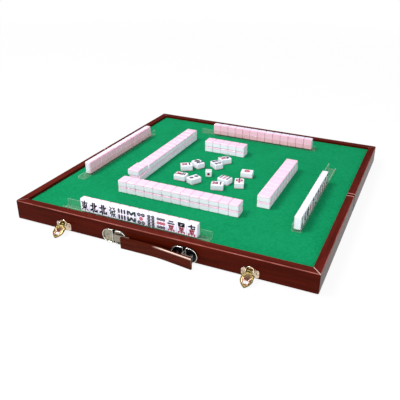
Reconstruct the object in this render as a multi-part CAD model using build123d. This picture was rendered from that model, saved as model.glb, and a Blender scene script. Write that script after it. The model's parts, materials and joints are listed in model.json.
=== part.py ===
from build123d import *

import os
from math import acos, atan2, cos, degrees, hypot, radians, sin, tan

# A folding mahjong case, opened flat as a square play table. Two shallow trays, open side down, are
# hinged along the fold. Lengths are in millimetres, angles in degrees.
# X runs along the fold, Y from the latched front to the rear, Z up from where the case stands.

# ---- Case ----
case_width = 450.0  # along the fold
half_depth = 225.0  # of one half, from the fold to its outer rail
case_height = 29.0  # of the rails
rim_width = 12.0  # thickness of the mitred rails
corner_radius = 2.0  # the case's four vertical corners
fold_corner_radius = 3.0  # the rails' vertical corners at the fold
edge_radius = 1.2  # eased top outer edges
inner_edge_radius = 0.6  # eased top inner edges
foot_chamfer = 0.5  # bottom outer edges
fold_gap = 0.3  # between the two halves when flat
closing_gap = 0.3  # between the two halves when folded shut

# ---- Playing surface ----
felt_recess = 4.4  # from the rim's top down to the felt
felt_thickness = 1.0
board_thickness = 4.0
groove_depth = 4.0  # how far the board is let into the rails
groove_clearance = 0.1
spine_width = 12.0  # the low rail under the boards, along the fold

# ---- Fold hinges ----
hinge_places = (-160.0, 0.0, 160.0)
hinge_length = 40.0
hinge_barrel_radius = 1.6
hinge_leaf_width = 10.0  # from the hinge axis to the leaf's far edge
hinge_leaf_thickness = 1.2
hinge_knuckles = 5
knuckle_gap = 0.2
hinge_pin_radius = 0.75
pin_clearance = 0.05
barrel_clearance = 0.3
mortise_clearance = 0.1
hinge_screw_spacing = 26.0

# ---- Wood screws ----
screw_shank = 2.0
screw_head = 4.0
screw_head_height = 0.9
screw_length = 8.0
screw_clearance = 0.05
screw_dome = 0.5  # height of a raised head
screw_slot = 0.5  # width and depth of the driver slot

# ---- Latches and catches ----
latch_centre = -2.0  # middle of the pair of latches
latch_spacing = 280.0
latch_axis_height = 11.0  # above the rail's bottom edge
latch_axis_out = 3.0  # in front of the rail
latch_plate_thickness = 1.0
latch_wing_span = 24.0
latch_wing_height = 11.6
latch_wing_radius = 3.0
latch_wing_drop = 3.8  # from the hinge axis down to the wings' and their screws' middle
latch_arch_radius = 7.5
latch_arch_drop = 1.5  # from the hinge axis down to the arch's centre
latch_arch_width = 2.0
latch_arch_height = 1.4
latch_screw_spacing = 19.0
latch_pin_radius = 0.8
latch_lug_radius = 1.9
latch_lug_width = 2.0
hasp_knuckle_radius = 1.7
hasp_knuckle_width = 8.0
hasp_side_gap = 0.2
hasp_width = 16.5
hasp_length = 23.0  # from the hinge axis to the tip
hasp_shoulder_drop = 4.5
hasp_neck_drop = 3.0
hasp_point_drop = 13.5  # where the sides start to close in
hasp_thickness = 1.2
hasp_back = 1.0  # its back's distance behind the hinge axis, hanging straight down
hasp_flank = (0.62, 0.57)  # where each side's arc passes: share of half the width, and of the point
hasp_rim_width = 1.5
hasp_rim_tip = 1.3  # the rim's width at the tip, as a share of its width at the sides
hasp_rim_height = 0.7
hasp_floor_clearance = 0.2
catch_depth = 4.0  # from the closing plane down to the lip
catch_lip_width = 5.0
catch_lip_height = 2.4
catch_lip_radius = 1.0
catch_lip_reach = 3.9
catch_clearance = 1.0  # around the lip, in the hasp's window
catch_plate_width = 20.0
catch_plate_height = 8.0
catch_plate_radius = 2.0
catch_screw_spacing = 13.0

# ---- Handle ----
handle_centre = -5.0  # middle of the two caps
cap_spacing = 105.4
cap_centre_height = 10.8  # above the rail's bottom edge
cap_width = 37.7
cap_height = 21.0
cap_plate_thickness = 1.0
cap_cup_height = 2.8
cap_cup_wall = 1.3
cap_slot_gap = 3.4  # between the two half-moon cups
cap_screw_spacing = 21.0
strap_length = 108.5
strap_height = 17.5
strap_thickness = 3.4
strap_stand_off = 4.6  # from the rail to the strap's back
strap_slip = 14.2  # how far the loose strap lies to the right of the caps' middle
strap_bend = 7.2  # how far its right end stands out
strap_bend_radius = 60.0
strap_edge_radius = 0.8
strap_floor_clearance = 0.3
tongue_height = 10.0
tongue_thickness = 1.2
tongue_seat = 12.0  # length that lies against the strap
tongue_bend_radius = 1.6
tongue_clearance = 0.5
tongue_depth = 9.0  # how far its stop lies inside the rail
stop_width = 5.0
stop_thickness = 1.2
stop_clearance = 1.0

# ---- Tiles, racks and die ----
tile_width = 15.0
tile_length = 20.0
tile_thickness = 10.0
tile_chamfer = 0.8
tile_pitch = 15.1
rack_length = 228.0
rack_base = 2.0
rack_wall = 1.5
rack_back_height = 10.5
rack_lip_height = 4.0
rack_tile_clearance = 0.3
die_size = 10.5
die_radius = 1.6

# ---- Cutting shapes ----
overrun = 1.0  # how far one runs past the face that it opens
through = 20.0  # length of one that goes right through a pressed part

tile_nudge = 2.6  # how far the loosely built end of a wall's upper layer is pushed aside

# Walls of tiles: start in X and Y, direction, columns, layers, how far the lower layer sticks out at the
# far end, and how many tiles of the upper layer are pushed aside at the near end.
wall_rows = {
    "wall_front_tiles": (-111.0, -132.5, "x", 13, 2, 0.0, 0),
    "wall_left_front_tiles": (-117.0, -6 * tile_pitch, "y", 6, 2, 0.0, 2),
    "wall_left_rear_tiles": (-117.0, fold_gap, "y", 8, 2, 0.0, 0),
    "wall_right_front_tiles": (98.0, -6 * tile_pitch, "y", 6, 2, 0.0, 0),
    "wall_right_rear_tiles": (98.0, fold_gap, "y", 4, 2, 3.0, 0),
    "wall_rear_tiles": (-60.0, 75.0, "x", 5, 2, 0.0, 0),
}
front_rack_inset = 21.5  # from the case's outside to the middle of the rack
right_rack_inset = 54.5
rear_rack_inset = 60.0
left_rack_inset = 36.0
# Racks: middle of the row of tiles, heading, tiles, and how far the rack's middle is from the row's.
racks = {
    "front": (-33.0, -half_depth + front_rack_inset, 0.0, 12, -6.5),
    "right": (case_width / 2 - right_rack_inset, -50.0, 90.0, 11, 28.0),
    "rear": (18.5, half_depth - rear_rack_inset, 180.0, 13, 8.5),
    "left": (-case_width / 2 + left_rack_inset, -1.0, -90.0, 13, 3.0),
}
# Loose tiles, face up: middle in X and Y, and the angle of the long side.
loose_tiles = {
    "loose_front_tiles": (
        (-53.9, -12.6, 30.0),
        (-40.9, 5.3, -32.0),
        (-44.9, -51.1, 0.0),
        (-20.8, -53.4, 62.0),
        (50.0, -36.2, 108.0),
        (24.7, -34.3, -11.0),
        (22.0, -58.7, 16.0),
        (48.4, 3.7, 10.0),
    ),
    "loose_rear_tiles": (
        (-11.2, 15.9, -38.0),
        (-6.0, 39.8, 50.0),
    ),
}
die_place = (-9.8, -20.4, 22.0)

# ---- Levels and reaches that follow ----
hinge_axis_z = hinge_barrel_radius
rail_bottom = hinge_axis_z + closing_gap / 2
rail_top = rail_bottom + case_height
felt_top = rail_top - felt_recess
board_top = felt_top - felt_thickness
board_bottom = board_top - board_thickness
inner_half_width = case_width / 2 - rim_width
inner_depth = half_depth - rim_width
latch_axis_z = rail_bottom + latch_axis_height
latch_places = (latch_centre - latch_spacing / 2, latch_centre + latch_spacing / 2)
cap_places = (handle_centre - cap_spacing / 2, handle_centre + cap_spacing / 2)
cap_centre_z = rail_bottom + cap_centre_height
# A hasp that rests with its tip by the floor leans this far out from straight down.
tip_distance, tip_angle = hypot(hasp_length, hasp_back), atan2(hasp_back, hasp_length)
hasp_lean = degrees(acos((latch_axis_z - hasp_floor_clearance) / tip_distance) + tip_angle)
hasp_front = hasp_thickness + hasp_rim_height - hasp_back  # its rim, in front of the hinge axis
front_reach = latch_axis_out + hasp_length * sin(radians(hasp_lean)) + hasp_front * cos(radians(hasp_lean))
# The origin is the middle of the whole footprint, so the fold lies this far behind it.
fold_line_y = (front_reach - catch_lip_reach) / 2


def save(name, *solids):
    """Write one node, with its place in the whole part."""
    placed = [Pos(0, fold_line_y, 0) * solid for solid in solids]
    export_step(placed[0] if len(placed) == 1 else Compound(children=placed), f"parts/{name}.step")


def on_front(x, z):
    """Plane on the front rail's outer face: its x runs right, its y up and its z out."""
    return Plane(origin=(x, -half_depth, z), x_dir=(1, 0, 0), z_dir=(0, -1, 0))


def on_rear(x, z):
    """Plane on the rear rail's outer face, seen from behind."""
    return Plane(origin=(x, half_depth, z), x_dir=(-1, 0, 0), z_dir=(0, 1, 0))


def span_box(low, high):
    """Box from its lowest to its highest corner."""
    size = [b - a for a, b in zip(low, high)]
    return Pos(*[(a + b) / 2 for a, b in zip(low, high)]) * Box(*size)


def x_cylinder(radius, length, x=0.0):
    """Cylinder along X through the origin, its middle at x."""
    return Pos(x, 0, 0) * Rot(0, 90, 0) * Cylinder(radius, length)


def screw_body(grow=0.0):
    """Countersunk screw pointing down, its rim at z = 0; grow widens it into its hole."""
    head = Cone(screw_shank / 2 + grow, screw_head / 2 + grow, screw_head_height)
    shank = Cylinder(screw_shank / 2 + grow, screw_length + grow)
    return Pos(0, 0, -screw_head_height / 2) * head + Pos(0, 0, -(screw_length + grow) / 2) * shank


def screw(dome=0.0):
    """Slotted wood screw, flush or with a raised head."""
    body = screw_body()
    if dome > 0:
        ball = ((screw_head / 2) ** 2 + dome**2) / (2 * dome)
        cap = Pos(0, 0, dome - ball) * Sphere(ball)
        body += cap & span_box((-screw_head, -screw_head, 0), (screw_head, screw_head, dome))
    slot_bottom = dome - screw_slot
    return body - span_box(
        (-screw_head, -screw_slot / 2, slot_bottom), (screw_head, screw_slot / 2, dome + overrun)
    )


def screw_holes(planes, places):
    """Holes for the screws that sit at the same places on each of several planes."""
    return [plane * place * screw_body(screw_clearance) for plane in planes for place in places]


# ---- The two halves ----
def half_block():
    """One half's outer shape, the front half's, with its corners and edges eased."""
    block = span_box((-case_width / 2, -half_depth, rail_bottom), (case_width / 2, -fold_gap / 2, rail_top))
    uprights = block.edges().filter_by(Axis.Z).group_by(Axis.Y)
    block = fillet(uprights[0], corner_radius)
    fold_uprights = block.edges().filter_by(Axis.Z).group_by(Axis.Y)[-1]
    block = fillet(fold_uprights, fold_corner_radius)
    block = fillet(block.faces().sort_by(Axis.Z)[-1].edges(), edge_radius)
    return chamfer(block.faces().sort_by(Axis.Z)[0].edges(), foot_chamfer)


def half_frame():
    """Three rails in one: the block hollowed out to the fold, with the groove for the board."""
    cavity = span_box(
        (-inner_half_width, -inner_depth, rail_bottom - overrun),
        (inner_half_width, overrun, rail_top + overrun),
    )
    groove = span_box(
        (-inner_half_width - groove_depth, -inner_depth - groove_depth, board_bottom - groove_clearance),
        (inner_half_width + groove_depth, overrun, board_top + groove_clearance),
    )
    frame = half_block() - cavity
    top_edges = frame.faces().sort_by(Axis.Z)[-1].edges().filter_by(GeomType.LINE)
    near_cavity = [
        e
        for e in top_edges
        if abs(abs(e.center().X) - inner_half_width) < 0.01 or abs(e.center().Y + inner_depth) < 0.01
    ]
    return fillet(near_cavity, inner_edge_radius) - groove


def mitre_prism():
    """Everything in front of the two mitre planes: the front rail's share of the frame."""
    w, d, m = case_width / 2, half_depth, rim_width
    outline = Polyline((-w, -d), (w, -d), (w - m, -d + m), (-w + m, -d + m), close=True)
    return Pos(0, 0, rail_bottom) * extrude(make_face(outline), case_height)


def side_region(side):
    """Everything of the frame on one side of the middle, behind the mitre planes."""
    reach = span_box((0, -half_depth, rail_bottom), (case_width / 2, 0, rail_top))
    return (reach if side > 0 else mirror(reach, Plane.YZ)) - mitre_prism()


def hinge_mortise(x):
    """Room for one hinge's leaf and barrel in a spine rail."""
    half_length = hinge_length / 2 + mortise_clearance
    leaf = span_box(
        (x - half_length, -hinge_leaf_width - mortise_clearance, rail_bottom - overrun),
        (x + half_length, 0, rail_bottom + hinge_leaf_thickness),
    )
    barrel = Pos(0, 0, hinge_axis_z) * x_cylinder(
        hinge_barrel_radius + barrel_clearance, 2 * half_length, x
    )
    return leaf + barrel


def hinge_screw_places(x):
    """Where one leaf's screws enter the spine rail, for the front half."""
    y = -(hinge_leaf_width + hinge_barrel_radius + barrel_clearance) / 2
    return [Pos(x + s * hinge_screw_spacing / 2, y, rail_bottom) * Rot(180, 0, 0) for s in (-1, 1)]


def spine_rail():
    """Low rail under the boards' inner edge, between the side rails."""
    rail = span_box(
        (-inner_half_width, -fold_gap / 2 - spine_width, rail_bottom),
        (inner_half_width, -fold_gap / 2, board_bottom),
    )
    for x in hinge_places:
        rail -= hinge_mortise(x)
        for place in hinge_screw_places(x):
            rail -= place * screw_body(screw_clearance)
    return rail


def board():
    """Plywood panel let into the three rails' grooves and lying on the spine rail."""
    tuck = groove_depth - groove_clearance
    return span_box(
        (-inner_half_width - tuck, -inner_depth - tuck, board_bottom),
        (inner_half_width + tuck, -fold_gap / 2, board_top),
    )


def side_rail(frame, side):
    """Side rail with the board's groove running out at the fold."""
    return frame & side_region(side)


def felt():
    """Felt glued on the board, cut to the rim's inner walls."""
    return span_box((-inner_half_width, -inner_depth, board_top), (inner_half_width, -fold_gap / 2, felt_top))


# ---- Fold hinges ----
def hinge_leaf(x, own_knuckles):
    """Front leaf of one hinge: a plate let into the spine rail, with its share of the knuckles."""
    y_near = hinge_barrel_radius + barrel_clearance
    plate = span_box(
        (x - hinge_length / 2, -hinge_leaf_width, rail_bottom),
        (x + hinge_length / 2, -y_near, rail_bottom + hinge_leaf_thickness),
    )
    step = hinge_length / hinge_knuckles
    leaf = plate
    for k in own_knuckles:
        middle = x - hinge_length / 2 + (k + 0.5) * step
        half = (step - knuckle_gap) / 2
        web = span_box(
            (middle - half, -y_near, rail_bottom), (middle + half, 0, rail_bottom + hinge_leaf_thickness)
        )
        leaf += web + Pos(0, 0, hinge_axis_z) * x_cylinder(hinge_barrel_radius, 2 * half, middle)
    bore = x_cylinder(hinge_pin_radius + pin_clearance, hinge_length + 2 * overrun, x)
    leaf -= Pos(0, 0, hinge_axis_z) * bore
    for place in hinge_screw_places(x):
        leaf -= place * screw_body(screw_clearance)
    return leaf


def to_rear(solid):
    """The same piece on the rear half."""
    return mirror(solid, Plane.XZ)


# ---- Latches ----
def latch_plate_outline():
    """Two screw wings and a round arch, about the hinge axis."""
    wings = Pos(0, -latch_wing_drop) * RectangleRounded(latch_wing_span, latch_wing_height, latch_wing_radius)
    return wings + Pos(0, -latch_arch_drop) * Circle(latch_arch_radius)


def latch_screw_places():
    """The two wing screws, on the plate's face."""
    height = latch_plate_thickness
    return [Pos(side * latch_screw_spacing / 2, -latch_wing_drop, height) for side in (-1, 1)]


def latch_base():
    """Pressed base plate with a raised arch and two lugs that carry the pin."""
    base = extrude(latch_plate_outline(), latch_plate_thickness)
    arch = Circle(latch_arch_radius) - Circle(latch_arch_radius - latch_arch_width)
    arch &= Pos(0, latch_arch_radius) * Rectangle(2 * latch_arch_radius, 2 * latch_arch_radius)
    base += Pos(0, -latch_arch_drop, latch_plate_thickness) * extrude(arch, latch_arch_height)
    lug_middle = hasp_knuckle_width / 2 + hasp_side_gap + latch_lug_width / 2
    for side in (-1, 1):
        x = side * lug_middle
        post = span_box(
            (x - latch_lug_width / 2, -latch_lug_radius, latch_plate_thickness / 2),
            (x + latch_lug_width / 2, latch_lug_radius, latch_axis_out),
        )
        base += post + Pos(0, 0, latch_axis_out) * x_cylinder(latch_lug_radius, latch_lug_width, x)
    base -= Pos(0, 0, latch_axis_out) * x_cylinder(latch_pin_radius + pin_clearance, latch_wing_span)
    for place in latch_screw_places():
        base -= place * screw_body(screw_clearance)
    return base


def shield(inset=0.0):
    """The hasp's outline: shoulders, straight sides and two arcs down to a point."""
    half = hasp_width / 2 - inset
    top, turn = -hasp_shoulder_drop - inset, -hasp_point_drop
    tip = -hasp_length + hasp_rim_tip * inset
    neck, neck_top = hasp_knuckle_width / 2 - inset, -hasp_neck_drop - inset
    flank = (hasp_flank[0] * half, turn + hasp_flank[1] * (tip - turn))
    right = Line((neck, neck_top), (half, top)) + Line((half, top), (half, turn))
    right += ThreePointArc((half, turn), flank, (0, tip))
    top_line = Line((-neck, neck_top), (neck, neck_top))
    return make_face(Curve() + [right, mirror(right, Plane.YZ), top_line])


def hasp():
    """Shield-shaped hasp with a raised rim and a window for the catch, hanging from its knuckle."""
    back = latch_axis_out - hasp_back
    neck = Pos(0, -hasp_neck_drop / 2) * Rectangle(hasp_knuckle_width, hasp_neck_drop)
    plate = extrude(shield() + neck, hasp_thickness)
    rim = extrude(shield() - shield(hasp_rim_width), hasp_thickness + hasp_rim_height)
    body = Pos(0, 0, back) * (plate + rim)
    body += Pos(0, 0, latch_axis_out) * x_cylinder(hasp_knuckle_radius, hasp_knuckle_width)
    body -= Pos(0, 0, latch_axis_out) * x_cylinder(latch_pin_radius + pin_clearance, latch_wing_span)
    window_drop = latch_axis_height + closing_gap + catch_depth
    window = Box(catch_lip_width + 2 * catch_clearance, catch_lip_height + 2 * catch_clearance, through)
    return body - Pos(0, -window_drop, 0) * window


def resting(solid):
    """A hasp swung out from straight down about its axis, until its tip is by the floor."""
    return Pos(0, 0, latch_axis_out) * Rot(-hasp_lean, 0, 0) * Pos(0, 0, -latch_axis_out) * solid


def catch_screw_places():
    """The catch's two screws, on its plate's face."""
    return [Pos(side * catch_screw_spacing / 2, 0, latch_plate_thickness) for side in (-1, 1)]


def catch():
    """Strike plate with the lip that the hasp's window drops over."""
    outline = RectangleRounded(catch_plate_width, catch_plate_height, catch_plate_radius)
    lip = RectangleRounded(catch_lip_width, catch_lip_height, catch_lip_radius)
    body = extrude(outline, latch_plate_thickness) + extrude(lip, catch_lip_reach)
    for place in catch_screw_places():
        body -= place * screw_body(screw_clearance)
    return body


# ---- Handle ----
def half_moons(inset=0.0):
    """The two half-moon cups' outlines: a long round outline parted by the strap's slot."""
    outline = SlotOverall(cap_width - 2 * inset, cap_height - 2 * inset)
    return outline - Rectangle(cap_slot_gap + 2 * inset, 2 * cap_height)


def cap_screw_places():
    """One screw in the floor of each cup."""
    return [Pos(side * cap_screw_spacing / 2, 0, cap_plate_thickness) for side in (-1, 1)]


def handle_cap():
    """Pressed cap: a base plate with the strap's slot and two open half-moon cups."""
    cap = extrude(SlotOverall(cap_width, cap_height), cap_plate_thickness)
    cap += extrude(half_moons() - half_moons(cap_cup_wall), cap_cup_height)
    cap -= Box(tongue_thickness + 2 * tongue_clearance, tongue_height + 2 * tongue_clearance, through)
    for place in cap_screw_places():
        cap -= place * screw_body(screw_clearance)
    return cap


def stop_pocket():
    """Pocket in the front rail that the tongue's stop slides in."""
    depth = tongue_depth + stop_thickness / 2 + tongue_clearance
    half_width, half_height = stop_width / 2 + stop_clearance, tongue_height / 2 + stop_clearance
    return span_box((-half_width, -half_height, -depth), (half_width, half_height, 0))


strap_middle = handle_centre + strap_slip
strap_left, strap_right = strap_middle - strap_length / 2, strap_middle + strap_length / 2
strap_line_out = strap_stand_off + strap_thickness / 2  # its middle plane, at its left half
strap_turn = atan2(strap_bend, strap_length / 2)


def out(x, distance):
    """Point in plan, at a distance in front of the front rail."""
    return (x, -half_depth - distance)


def handle_strap():
    """Leather-covered strap, straight at its left half and bent outwards at its right half."""
    path = FilletPolyline(
        out(strap_left, strap_line_out),
        out(strap_middle, strap_line_out),
        out(strap_right, strap_line_out + strap_bend),
        radius=strap_bend_radius,
    )
    strap = Pos(0, 0, strap_floor_clearance) * extrude(trace(path, strap_thickness), strap_height)
    rims = strap.faces().sort_by(Axis.Z)
    return fillet(rims[0].edges() + rims[-1].edges(), strap_edge_radius)


def handle_tongue(x, seat_end, turn):
    """Thin strip from its stop in the rail, out through the cap's slot and along the strap's back."""
    lap = (strap_thickness + tongue_thickness) / 2 / cos(turn)
    back_out = strap_line_out - lap

    def seat_out(at):
        return back_out + max(0.0, at - strap_middle) * tan(turn)

    inner_end, corner = out(x, -tongue_depth), out(x, seat_out(x))
    path = FilletPolyline(inner_end, corner, out(seat_end, seat_out(seat_end)), radius=tongue_bend_radius)
    strip = extrude(trace(path, tongue_thickness), tongue_height)
    stop = Pos(*out(x, -tongue_depth), tongue_height / 2) * Box(stop_width, stop_thickness, tongue_height)
    return Pos(0, 0, cap_centre_z - tongue_height / 2) * (strip + stop)


# ---- Tiles, racks and die ----
def tile_solid():
    """One tile, lying flat on the origin with its long side along Y."""
    block = Pos(0, 0, tile_thickness / 2) * Box(tile_width, tile_length, tile_thickness)
    return chamfer(block.edges(), tile_chamfer)


def wall_tiles(start_x, start_y, along, columns, layers, stick_out, nudged):
    """A wall of tiles, face down and side by side, from its lowest corner in X and Y."""
    one, copies = tile_solid(), []
    for layer in range(layers):
        shift = stick_out if layer == 0 else 0.0
        for n in range(columns):
            run = (n + 0.5) * tile_pitch + shift
            middle = tile_length / 2 - (tile_nudge if layer > 0 and n < nudged else 0.0)
            z = felt_top + layer * tile_thickness
            if along == "x":
                copies.append(Pos(start_x + run, start_y + middle, z) * one)
            else:
                copies.append(Pos(start_x + middle, start_y + run, z) * Rot(0, 0, 90) * one)
    return copies


def rack():
    """Clear rack for a row that faces -Y: base, high back wall and low front lip, middle at the row's."""
    depth = tile_thickness + 2 * rack_tile_clearance + 2 * rack_wall
    near, far = -depth / 2, depth / 2
    profile = Polyline(
        (near, 0),
        (far, 0),
        (far, rack_back_height),
        (far - rack_wall, rack_back_height),
        (far - rack_wall, rack_base),
        (near + rack_wall, rack_base),
        (near + rack_wall, rack_lip_height),
        (near, rack_lip_height),
        close=True,
    )
    section = Plane.YZ * make_face(profile)
    return Pos(-rack_length / 2, 0, 0) * extrude(section, rack_length)


def rack_tiles(count):
    """A row of standing tiles that face -Y, middle at the origin and feet at z = 0."""
    standing = Pos(0, tile_thickness / 2, tile_length / 2) * Rot(90, 0, 0) * tile_solid()
    return [Pos((n - (count - 1) / 2) * tile_pitch, 0, 0) * standing for n in range(count)]


def die():
    """Die with rounded edges, standing on the origin."""
    cube = Pos(0, 0, die_size / 2) * Box(die_size, die_size, die_size)
    return fillet(cube.edges(), die_radius)


def save_half(name, outer, side_to_place, extra_cuts=()):
    """Rails, board and felt of one half; the rear half is the front half mirrored over the fold."""
    frame = half_frame()
    outer_rail = frame & mitre_prism()
    for cut in extra_cuts:
        outer_rail -= cut
    save(f"{name}_{outer}_rail", side_to_place(outer_rail))
    save(f"{name}_left_rail", side_to_place(side_rail(frame, -1)))
    save(f"{name}_right_rail", side_to_place(side_rail(frame, 1)))
    save(f"{name}_spine_rail", side_to_place(spine_rail()))
    save(f"{name}_board", side_to_place(board()))
    save(f"{name}_felt", side_to_place(felt()))


os.makedirs("parts", exist_ok=True)

# Holes in the front rail for the latches and the handle, and in the rear rail for the catches.
latch_planes = [on_front(x, latch_axis_z) for x in latch_places]
cap_planes = [on_front(x, cap_centre_z) for x in cap_places]
catch_planes = [on_rear(x, rail_bottom + catch_depth) for x in latch_places]
front_cuts = screw_holes(latch_planes, latch_screw_places()) + screw_holes(cap_planes, cap_screw_places())
front_cuts += [plane * stop_pocket() for plane in cap_planes]
rear_cuts = [to_rear(hole) for hole in screw_holes(catch_planes, catch_screw_places())]

save_half("front_half", "front", lambda solid: solid, front_cuts)
save_half("rear_half", "rear", to_rear, rear_cuts)

front_knuckles, rear_knuckles = range(0, hinge_knuckles, 2), range(1, hinge_knuckles, 2)
save("hinge_front_leaves", *[hinge_leaf(x, front_knuckles) for x in hinge_places])
save("hinge_rear_leaves", *[to_rear(hinge_leaf(x, rear_knuckles)) for x in hinge_places])
pins = [x_cylinder(hinge_pin_radius, hinge_length, x) for x in hinge_places]
save("hinge_pins", *[Pos(0, 0, hinge_axis_z) * pin for pin in pins])
hinge_screws = [place * screw() for x in hinge_places for place in hinge_screw_places(x)]
save("hinge_front_screws", *hinge_screws)
save("hinge_rear_screws", *[to_rear(s) for s in hinge_screws])

pin_length = hasp_knuckle_width + 2 * hasp_side_gap + 2 * latch_lug_width
latch_pin = Pos(0, 0, latch_axis_out) * x_cylinder(latch_pin_radius, pin_length)
for n, side in enumerate(("left", "right")):
    save(f"latch_{side}_base", latch_planes[n] * latch_base())
    save(f"latch_{side}_hasp", latch_planes[n] * resting(hasp()))
    save(f"catch_{side}", catch_planes[n] * catch())
    save(f"handle_{side}_cap", cap_planes[n] * handle_cap())
save("latch_pins", *[plane * latch_pin for plane in latch_planes])
raised = screw(screw_dome)
for name, planes, places in (
    ("latch_screws", latch_planes, latch_screw_places()),
    ("catch_screws", catch_planes, catch_screw_places()),
    ("handle_cap_screws", cap_planes, cap_screw_places()),
):
    save(name, *[plane * place * raised for plane in planes for place in places])

save("handle_strap", handle_strap())
save("handle_left_tongue", handle_tongue(cap_places[0], strap_left + tongue_seat, 0.0))
save("handle_right_tongue", handle_tongue(cap_places[1], strap_right, strap_turn))

for name, row in wall_rows.items():
    save(name, *wall_tiles(*row))
for side, (x, y, heading, count, rack_shift) in racks.items():
    place = Pos(x, y, felt_top) * Rot(0, 0, heading)
    save(f"rack_{side}", place * Pos(rack_shift, 0, 0) * rack())
    save(f"rack_{side}_tiles", *[place * Pos(0, 0, rack_base) * tile for tile in rack_tiles(count)])
flat_tile = tile_solid()
for name, places in loose_tiles.items():
    save(name, *[Pos(x, y, felt_top) * Rot(0, 0, angle - 90) * flat_tile for x, y, angle in places])
save("die", Pos(die_place[0], die_place[1], felt_top) * Rot(0, 0, die_place[2]) * die())
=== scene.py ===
import json
import math

import bmesh
import bpy
import numpy as np
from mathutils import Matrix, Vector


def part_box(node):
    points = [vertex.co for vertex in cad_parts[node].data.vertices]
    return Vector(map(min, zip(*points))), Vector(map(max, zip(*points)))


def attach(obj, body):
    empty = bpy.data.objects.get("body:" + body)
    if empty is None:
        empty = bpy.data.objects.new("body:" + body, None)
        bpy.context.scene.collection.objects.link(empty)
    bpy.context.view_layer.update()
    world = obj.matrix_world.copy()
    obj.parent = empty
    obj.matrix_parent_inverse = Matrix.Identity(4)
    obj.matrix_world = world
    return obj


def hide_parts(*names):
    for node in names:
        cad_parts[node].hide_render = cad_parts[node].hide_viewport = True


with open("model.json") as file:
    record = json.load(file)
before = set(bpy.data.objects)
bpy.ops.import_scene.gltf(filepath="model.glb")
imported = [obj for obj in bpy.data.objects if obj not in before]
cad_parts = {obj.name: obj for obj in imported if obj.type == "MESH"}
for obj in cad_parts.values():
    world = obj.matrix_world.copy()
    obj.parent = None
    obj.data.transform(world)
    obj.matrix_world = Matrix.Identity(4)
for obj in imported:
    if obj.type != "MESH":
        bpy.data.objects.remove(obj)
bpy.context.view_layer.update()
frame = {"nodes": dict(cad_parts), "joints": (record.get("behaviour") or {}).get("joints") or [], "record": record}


# ---- Rails ----
# Each half has an outer rail and two side rails, mitred and glued, and a low spine along the fold.
# They are solid wood, stained a dark red-brown, with a glossy clear lacquer rubbed thin on the edges. Their colour
# also carries painted light: lighter tops, painted highlights on the edges and mitres, painted shade at the fold.
class Term:
    """One output of a shader node. Arithmetic on it adds the Math nodes that the expression needs."""

    def __init__(self, finish, output):
        self.finish = finish
        self.output = output

    def math(self, operation, *values):
        return self.finish.add("ShaderNodeMath", {"operation": operation}, dict(enumerate(values)))

    def __add__(self, other):
        return self.math("ADD", self, other)

    def __radd__(self, other):
        return self.math("ADD", other, self)

    def __sub__(self, other):
        return self.math("SUBTRACT", self, other)

    def __rsub__(self, other):
        return self.math("SUBTRACT", other, self)

    def __mul__(self, other):
        return self.math("MULTIPLY", self, other)

    def __rmul__(self, other):
        return self.math("MULTIPLY", other, self)

    def __truediv__(self, other):
        return self.math("DIVIDE", self, other)

    def __rtruediv__(self, other):
        return self.math("DIVIDE", other, self)

    def __abs__(self):
        return self.math("ABSOLUTE", self)

    def ramp(self, low, high):
        """0 below low, 1 above high, and an even slope between; low may be the larger."""
        sockets = {"Value": self, "From Min": low, "From Max": high, "To Min": 0.0, "To Max": 1.0}
        return self.finish.add("ShaderNodeMapRange", {"clamp": True}, sockets)


class Nodes:
    """A node tree that Terms are added to."""

    def __init__(self, tree):
        self.tree = tree

    def fill(self, socket, value):
        if isinstance(value, Term):
            self.tree.links.new(value.output, socket)
        elif socket.type == "RGBA" and len(value) == 3:
            socket.default_value = (*value, 1.0)
        else:
            socket.default_value = value

    def add(self, kind, settings, sockets, out=0):
        """Any node: its settings first, then values or links for its sockets. Returns one output."""
        made = self.tree.nodes.new(kind)
        for name, value in settings.items():
            setattr(made, name, value)
        for name, value in sockets.items():
            self.fill(made.inputs[name], value)
        return Term(self, made.outputs[out])

    def show(self, term, node):
        """Send a shader to the tree's output node."""
        self.fill(self.tree.nodes[node].inputs["Surface"], term)

    def place(self):
        """The point's place on the piece, in metres."""
        return self.add("ShaderNodeTexCoord", {}, {}, "Object")

    def attribute(self, name):
        """A number kept at each point of the mesh."""
        return self.add("ShaderNodeAttribute", {"attribute_name": name}, {}, "Fac")

    def split(self, vector):
        """A vector's three numbers."""
        made = self.add("ShaderNodeSeparateXYZ", {}, {"Vector": vector})
        return [Term(self, made.output.node.outputs[axis]) for axis in "XYZ"]

    def noise(self, vector, size, stretch=(1.0, 1.0, 1.0), detail=3.0, rough=0.55):
        """Cloudy noise from 0 to 1 with features of about that size in metres, longer along stretch."""
        scale = [1.0 / (size * along) for along in stretch]
        spread = self.add("ShaderNodeMapping", {}, {"Vector": vector, "Scale": scale})
        sockets = {"Vector": spread, "Scale": 1.0, "Detail": detail, "Roughness": rough}
        return self.add("ShaderNodeTexNoise", {}, sockets)

    def tint(self, share, low, high):
        """A colour that runs from low to high with share."""
        return self.add("ShaderNodeMix", {"data_type": "RGBA"}, {0: share, 6: low, 7: high}, 2)

    def bump(self, height, depth):
        """Relief from a height of 0 to 1, that many metres deep."""
        return self.add("ShaderNodeBump", {}, {"Height": height, "Distance": depth, "Strength": 1.0})


class Finish(Nodes):
    """One material around a Principled shader, whose plain numbers are set by socket name."""

    def __init__(self, name, numbers):
        self.material = bpy.data.materials.new(name)
        self.material.use_nodes = True
        super().__init__(self.material.node_tree)
        self.shader = self.tree.nodes["Principled BSDF"]
        self.set(numbers)

    def set(self, sockets):
        for name, value in sockets.items():
            self.fill(self.shader.inputs[name], value)

    def mix_in(self, share, other):
        """Show another shader in place of the Principled one, for a share of the light."""
        own = Term(self, self.shader.outputs[0])
        self.show(self.add("ShaderNodeMixShader", {}, {0: share, 1: own, 2: other}), "Material Output")


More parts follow.
